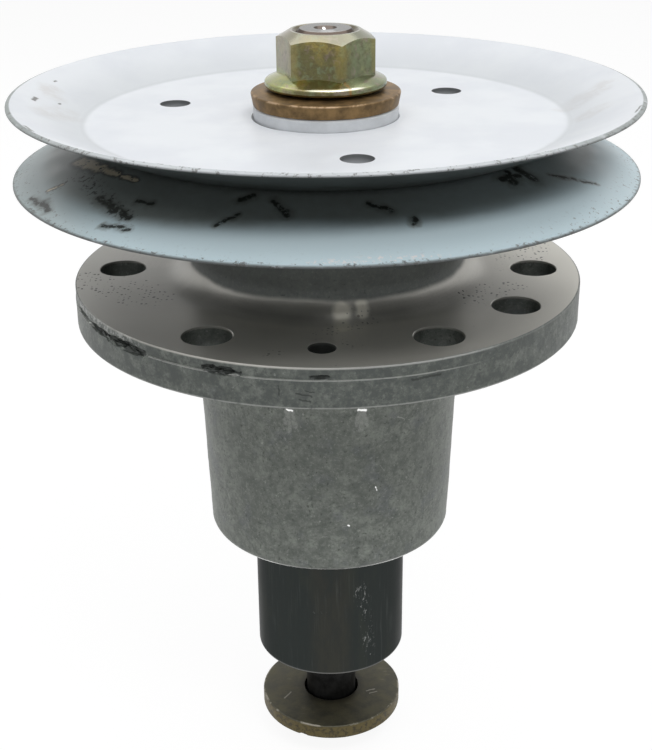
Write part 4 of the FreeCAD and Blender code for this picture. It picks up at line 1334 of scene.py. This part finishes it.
def shaft_finish():
    new_finish("spindle_steel", 0.85)
    bench["shader"].inputs["Specular Tint"].default_value = EDGE_TINT
    where, radius, height, _ = places()
    cloud = noise(where, 14.0, 5.0)
    scratch = noise(stretched(where, (1.0, 1.0, 0.05)), 0.8, 3.0)
    worn = times(window(scratch, 0.54, 0.72), window(cloud, 0.3, 0.65))
    black = lay(SHAFT_BLACK, SHAFT_WORN, worn, 0.6)
    patch = noise(stretched(where, (1.0, 1.0, 0.3)), 6.0, 5.0, 0.65)
    middle = times(window(side_on(where, -88.0), 21.6, 23.0), window(patch, 0.3, 0.6))
    flecks = marked(where, 0.9, 0.9, BOSS_FLECKS)
    dots = noise(stretched(frayed(where, 2.0, 2.0), (1.0, 1.0, 0.35)), 0.8, 4.0, 0.7)
    rings = noise(stretched(where, (0.1, 0.1, 1.0)), 0.7, 3.0)
    bright = lay(SHAFT_TARNISH, SHAFT_BRIGHT, window(rings, 0.35, 0.65))
    end = window(height, 77.6, 78.4)
    # Painted glints.
    glint = strokes(where, from_spots(END_GLINTS))
    # The narrow gap round the end face, with tarnish and painted shade.
    gap = times(end, window(radius, 6.85, 7.1))
    ground = window(height, -62.0, -61.4)
    black = stack(
        black,
        (SHAFT_OLIVE, window(patch, 0.5, 0.66), 0.3),
        (SHAFT_BROWN, middle, 0.3),
        (SHAFT_FLECK, flecks, window(dots, 0.57, 0.68), 0.6),
    )
    bright = stack(
        bright,
        (SHAFT_BRIGHT, end),
        # Painted shade in the centre hole.
        (GAP_TARNISH_AND_PAINTED_SHADE, end, window(radius, 3.3, 3.0), 0.85),
        (END_WHITE, glint),
        (GAP_TARNISH_AND_PAINTED_SHADE, gap, 0.9),
    )
    colour = lay(black, bright, ground)
    edge = times(window(radius, 22.5, 22.95), band(height, -113.9, -113.2, 0.25))
    roughness = scaled(cloud, 0.2, 0.26)
    roughness = less(roughness, times(end, 0.18))
    colour = lay(colour, SHAFT_BRIGHT, edge, 0.3)
    return dress(colour, roughness, scratch, 0.015)


# %% Yellow zinc
ZINC_GOLD = (0.30, 0.24, 0.075, 1)
ZINC_OLIVE = (0.15, 0.137, 0.062, 1)
ZINC_GREEN = (0.225, 0.275, 0.165, 1)
ZINC_ROSE = (0.31, 0.235, 0.205, 1)
ZINC_PALE = (0.29, 0.28, 0.235, 1)
ZINC_PLUM = (0.105, 0.082, 0.052, 1)
# A painted highlight for the flange's front edge.
ZINC_PAINTED_HIGHLIGHT = (0.90, 0.87, 0.74, 1)
# Painted light for the nut's left side.
LIME_PAINTED_LIGHT = (0.42, 0.46, 0.20, 1)
ZINC_RUST = (0.36, 0.14, 0.03, 1)
NUT_CORNER = 13.6
RUST_STREAKS = [
    ((-66.5, 14.0, 67.0), (-65.0, 16.2, 65.6), 0.8),
    ((-66.0, 16.6, 65.2), (-65.5, 16.6, 64.2), 0.6),
    ((70.0, 14.4, 66.8), (72.0, 16.0, 66.0), 0.8),
]


def zinc_finish():
    new_finish("yellow_zinc", 0.95)
    where, radius, height, upward = places()
    drift = noise(where, 5.0, 4.0)
    tint = noise(frayed(where, 3.0, 3.0), 3.0, 5.0, 0.6)
    colour = lay(ZINC_OLIVE, ZINC_GOLD, window(drift, 0.45, 0.75))
    # Painted light on the nut's sides: the left side lighter in lime, with rose on its flats, and the
    # right side greener.
    across = parts(where)[0]
    left = window(across, -6.0, -11.0)
    flats = window(height, 68.0, 69.5)
    stain = window(noise(where, 1.8, 6.0, 0.78), 0.47, 0.60)
    upright = window(upward, 0.5, 0.2)
    crown_share = times(window(height, 74.5, 76.0), window(upward, 0.45, 0.75))
    corner = times(window(radius, NUT_CORNER - 0.9, NUT_CORNER - 0.4), window(height, 67.5, 68.5))
    # Painted highlight along the flange's top edge, at the front only.
    lip = times(band(radius, 15.8, 16.5, 0.2), band(height, 65.5, 66.1, 0.15))
    lip = times(lip, window(side_on(where, -78.0), 13.8, 16.0))
    grit = noise(where, 0.6, 4.0)
    rust = marked(where, 1.2, 0.9, RUST_STREAKS)
    mouth = times(window(radius, 9.1, 8.8), window(height, 77.0, 77.8))
    roughness = scaled(drift, 0.18, 0.10)
    colour = stack(
        colour,
        (ZINC_GREEN, window(across, 4.0, 9.0), 0.6),
        (LIME_PAINTED_LIGHT, left, 0.6),
        (ZINC_ROSE, left, flats, 0.6),
        (ZINC_GREEN, window(tint, 0.52, 0.64), 0.5),
        (ZINC_ROSE, window(tint, 0.46, 0.36), 0.5),
        (ZINC_PLUM, stain, upright, 0.5),
        (ZINC_PALE, crown_share, 0.62),
        (ZINC_GOLD, corner, upright, 0.35),
        (ZINC_PAINTED_HIGHLIGHT, lip, 0.85),
        (ZINC_RUST, rust, window(grit, 0.35, 0.6), 0.6),
        (ZINC_PLUM, mouth, 0.75),
    )
    return dress(colour, roughness, grit, 0.03)


# %% Brown phosphate and olive steel
DISC_BROWN = (0.26, 0.162, 0.068, 1)
DISC_DEEP = (0.115, 0.072, 0.031, 1)
# A painted highlight for the disc's top edge.
DISC_EDGE_PAINTED_HIGHLIGHT = (0.42, 0.31, 0.21, 1)
DISC_EDGE = 20.25
WASHER_OLIVE = (0.108, 0.10, 0.062, 1)
WASHER_GREY = (0.064, 0.061, 0.044, 1)
WASHER_RUST = (0.15, 0.117, 0.042, 1)
WASHER_SOOT = (0.03, 0.026, 0.018, 1)
WASHER_RUBBED = (0.46, 0.43, 0.36, 1)
WASHER_SCRATCHES = [
    ((-18.0, 12.2, -134.2), (-11.0, 14.5, -134.2), 0.35),
    ((-22.0, 13.6, -134.2), (-15.0, 15.6, -134.2), 0.3),
    ((-160.0, 14.0, -134.2), (-152.0, 17.0, -134.2), 0.35),
]


def disc_finish():
    new_finish("brown_phosphate", 0.7)
    where, radius, height, _ = places()
    cloud = noise(where, 4.0, 5.0, 0.65)
    colour = lay(DISC_DEEP, DISC_BROWN, window(cloud, 0.32, 0.68))
    speck = window(noise(where, 0.8, 4.0, 0.6), 0.60, 0.70)
    # Painted highlight along the disc's top edge, broken up by the cloud.
    edge = times(window(radius, DISC_EDGE - 0.3, DISC_EDGE), window(height, 62.0, 62.25))
    rubbed = times(edge, window(cloud, 0.44, 0.58))
    roughness = scaled(cloud, 0.22, 0.38)
    colour = stack(
        colour,
        (DISC_DEEP, speck, 0.5),
        (DISC_EDGE_PAINTED_HIGHLIGHT, rubbed, 0.6),
    )
    return dress(colour, roughness, noise(where, 0.5, 3.0), 0.02)


def washer_finish():
    new_finish("olive_washer_steel", 0.5)
    where, radius, height, _ = places()
    cloud = noise(where, 5.0, 5.0, 0.65)
    spots = noise(where, 1.4, 5.0, 0.7)
    colour = lay(WASHER_GREY, WASHER_OLIVE, window(cloud, 0.32, 0.68))
    scratch = noise(stretched(where, (0.12, 1.0, 1.0)), 0.9, 3.0)
    lines = marked(where, 1.5, 0.5, WASHER_SCRATCHES)
    bore = window(radius, 11.5, 9.0)
    rim = times(window(radius, 21.6, 22.0), window(height, -134.3, -134.8))
    edge = times(window(radius, 21.6, 21.95), window(height, -134.75, -134.45))
    rubbed = times(edge, window(cloud, 0.5, 0.6))
    roughness = scaled(cloud, 0.3, 0.34)
    colour = stack(
        colour,
        (WASHER_RUBBED, window(scratch, 0.66, 0.74), 0.3),
        (WASHER_RUBBED, lines, 0.6),
        (WASHER_SOOT, bore, 0.5),
        (WASHER_RUST, rim, 0.9),
        (WASHER_SOOT, rim, window(spots, 0.46, 0.60), 0.7),
        (WASHER_RUBBED, rubbed, 0.7),
    )
    return dress(colour, roughness, noise(where, 0.6, 4.0), 0.04)


# %% [markdown]
# ### Plainer metals and rubber
#
# The bearings and seals inside are seen only when the part is taken to pieces, but they have their
# own finishes too: two tones that drift, and a fine grain.

# %% Two-tone finishes
def two_tone(name, deep, pale, metallic, grain, low_rough, high_rough, depth=0.01):
    """Two tones that drift into each other, and a fine grain."""
    new_finish(name, metallic)
    where = places()[0]
    cloud = noise(where, grain, 5.0, 0.6)
    colour = lay(deep, pale, window(cloud, 0.32, 0.68))
    roughness = scaled(cloud, high_rough - low_rough, low_rough)
    return dress(colour, roughness, noise(where, grain / 8, 3.0), depth)


PLAIN_FINISHES = {
    "hub_paint": (shade(0.60, -0.03), shade(0.70, -0.03), 0.0, 6.0, 0.35, 0.5, 0.02),
    "black_bolt_steel": (shade(0.012), shade(0.03), 0.8, 3.0, 0.35, 0.6, 0.03),
    "bearing_steel": (shade(0.48), shade(0.60), 1.0, 7.0, 0.12, 0.3),
    "ball_steel": (shade(0.60), shade(0.70), 1.0, 5.0, 0.05, 0.12, 0.002),
    "cage_brass": ((0.45, 0.28, 0.09, 1), (0.60, 0.40, 0.15, 1), 1.0, 4.0, 0.2, 0.4),
    "shield_steel": (shade(0.38), shade(0.50), 1.0, 5.0, 0.25, 0.45),
    "seal_steel": (shade(0.24, 0.05), shade(0.36, 0.05), 0.9, 5.0, 0.3, 0.5),
    "seal_rubber": (shade(0.012), shade(0.028), 0.0, 2.0, 0.5, 0.75, 0.03),
    "spring_wire": (shade(0.35), shade(0.5), 1.0, 1.5, 0.2, 0.4),
    "plain_steel": (shade(0.30), shade(0.42), 1.0, 6.0, 0.25, 0.45),
}
FINISHES = {
    "cast_aluminium": aluminium,
    "pulley_paint": paint,
    "black_steel": shaft_finish(),
    "yellow_zinc": zinc_finish(),
    "brown_spring_steel": disc_finish(),
    "olive_washer_steel": washer_finish(),
}
for name, recipe in PLAIN_FINISHES.items():
    FINISHES[name] = two_tone(name, *recipe)
print("finishes:", len(FINISHES))

# %% [markdown]
# The record names a finish slot for every node. Each CAD node takes the finish of its slot, and so
# does each new piece, so a node and the piece that replaces it always agree.

# %% Put the finishes on
slot_of = {part["node"]: part["material_slot"] for part in frame["record"]["subparts"]}
for name, node in frame["nodes"].items():
    node.data.materials.clear()
    node.data.materials.append(FINISHES[slot_of[name]])
for piece in (cast_housing, turned_shaft, plated_nut, worn_disc, black_bolt, worn_washer):
    piece.data.materials.clear()
    piece.data.materials.append(FINISHES[piece["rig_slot"]])
print("nodes dressed:", len(slot_of))
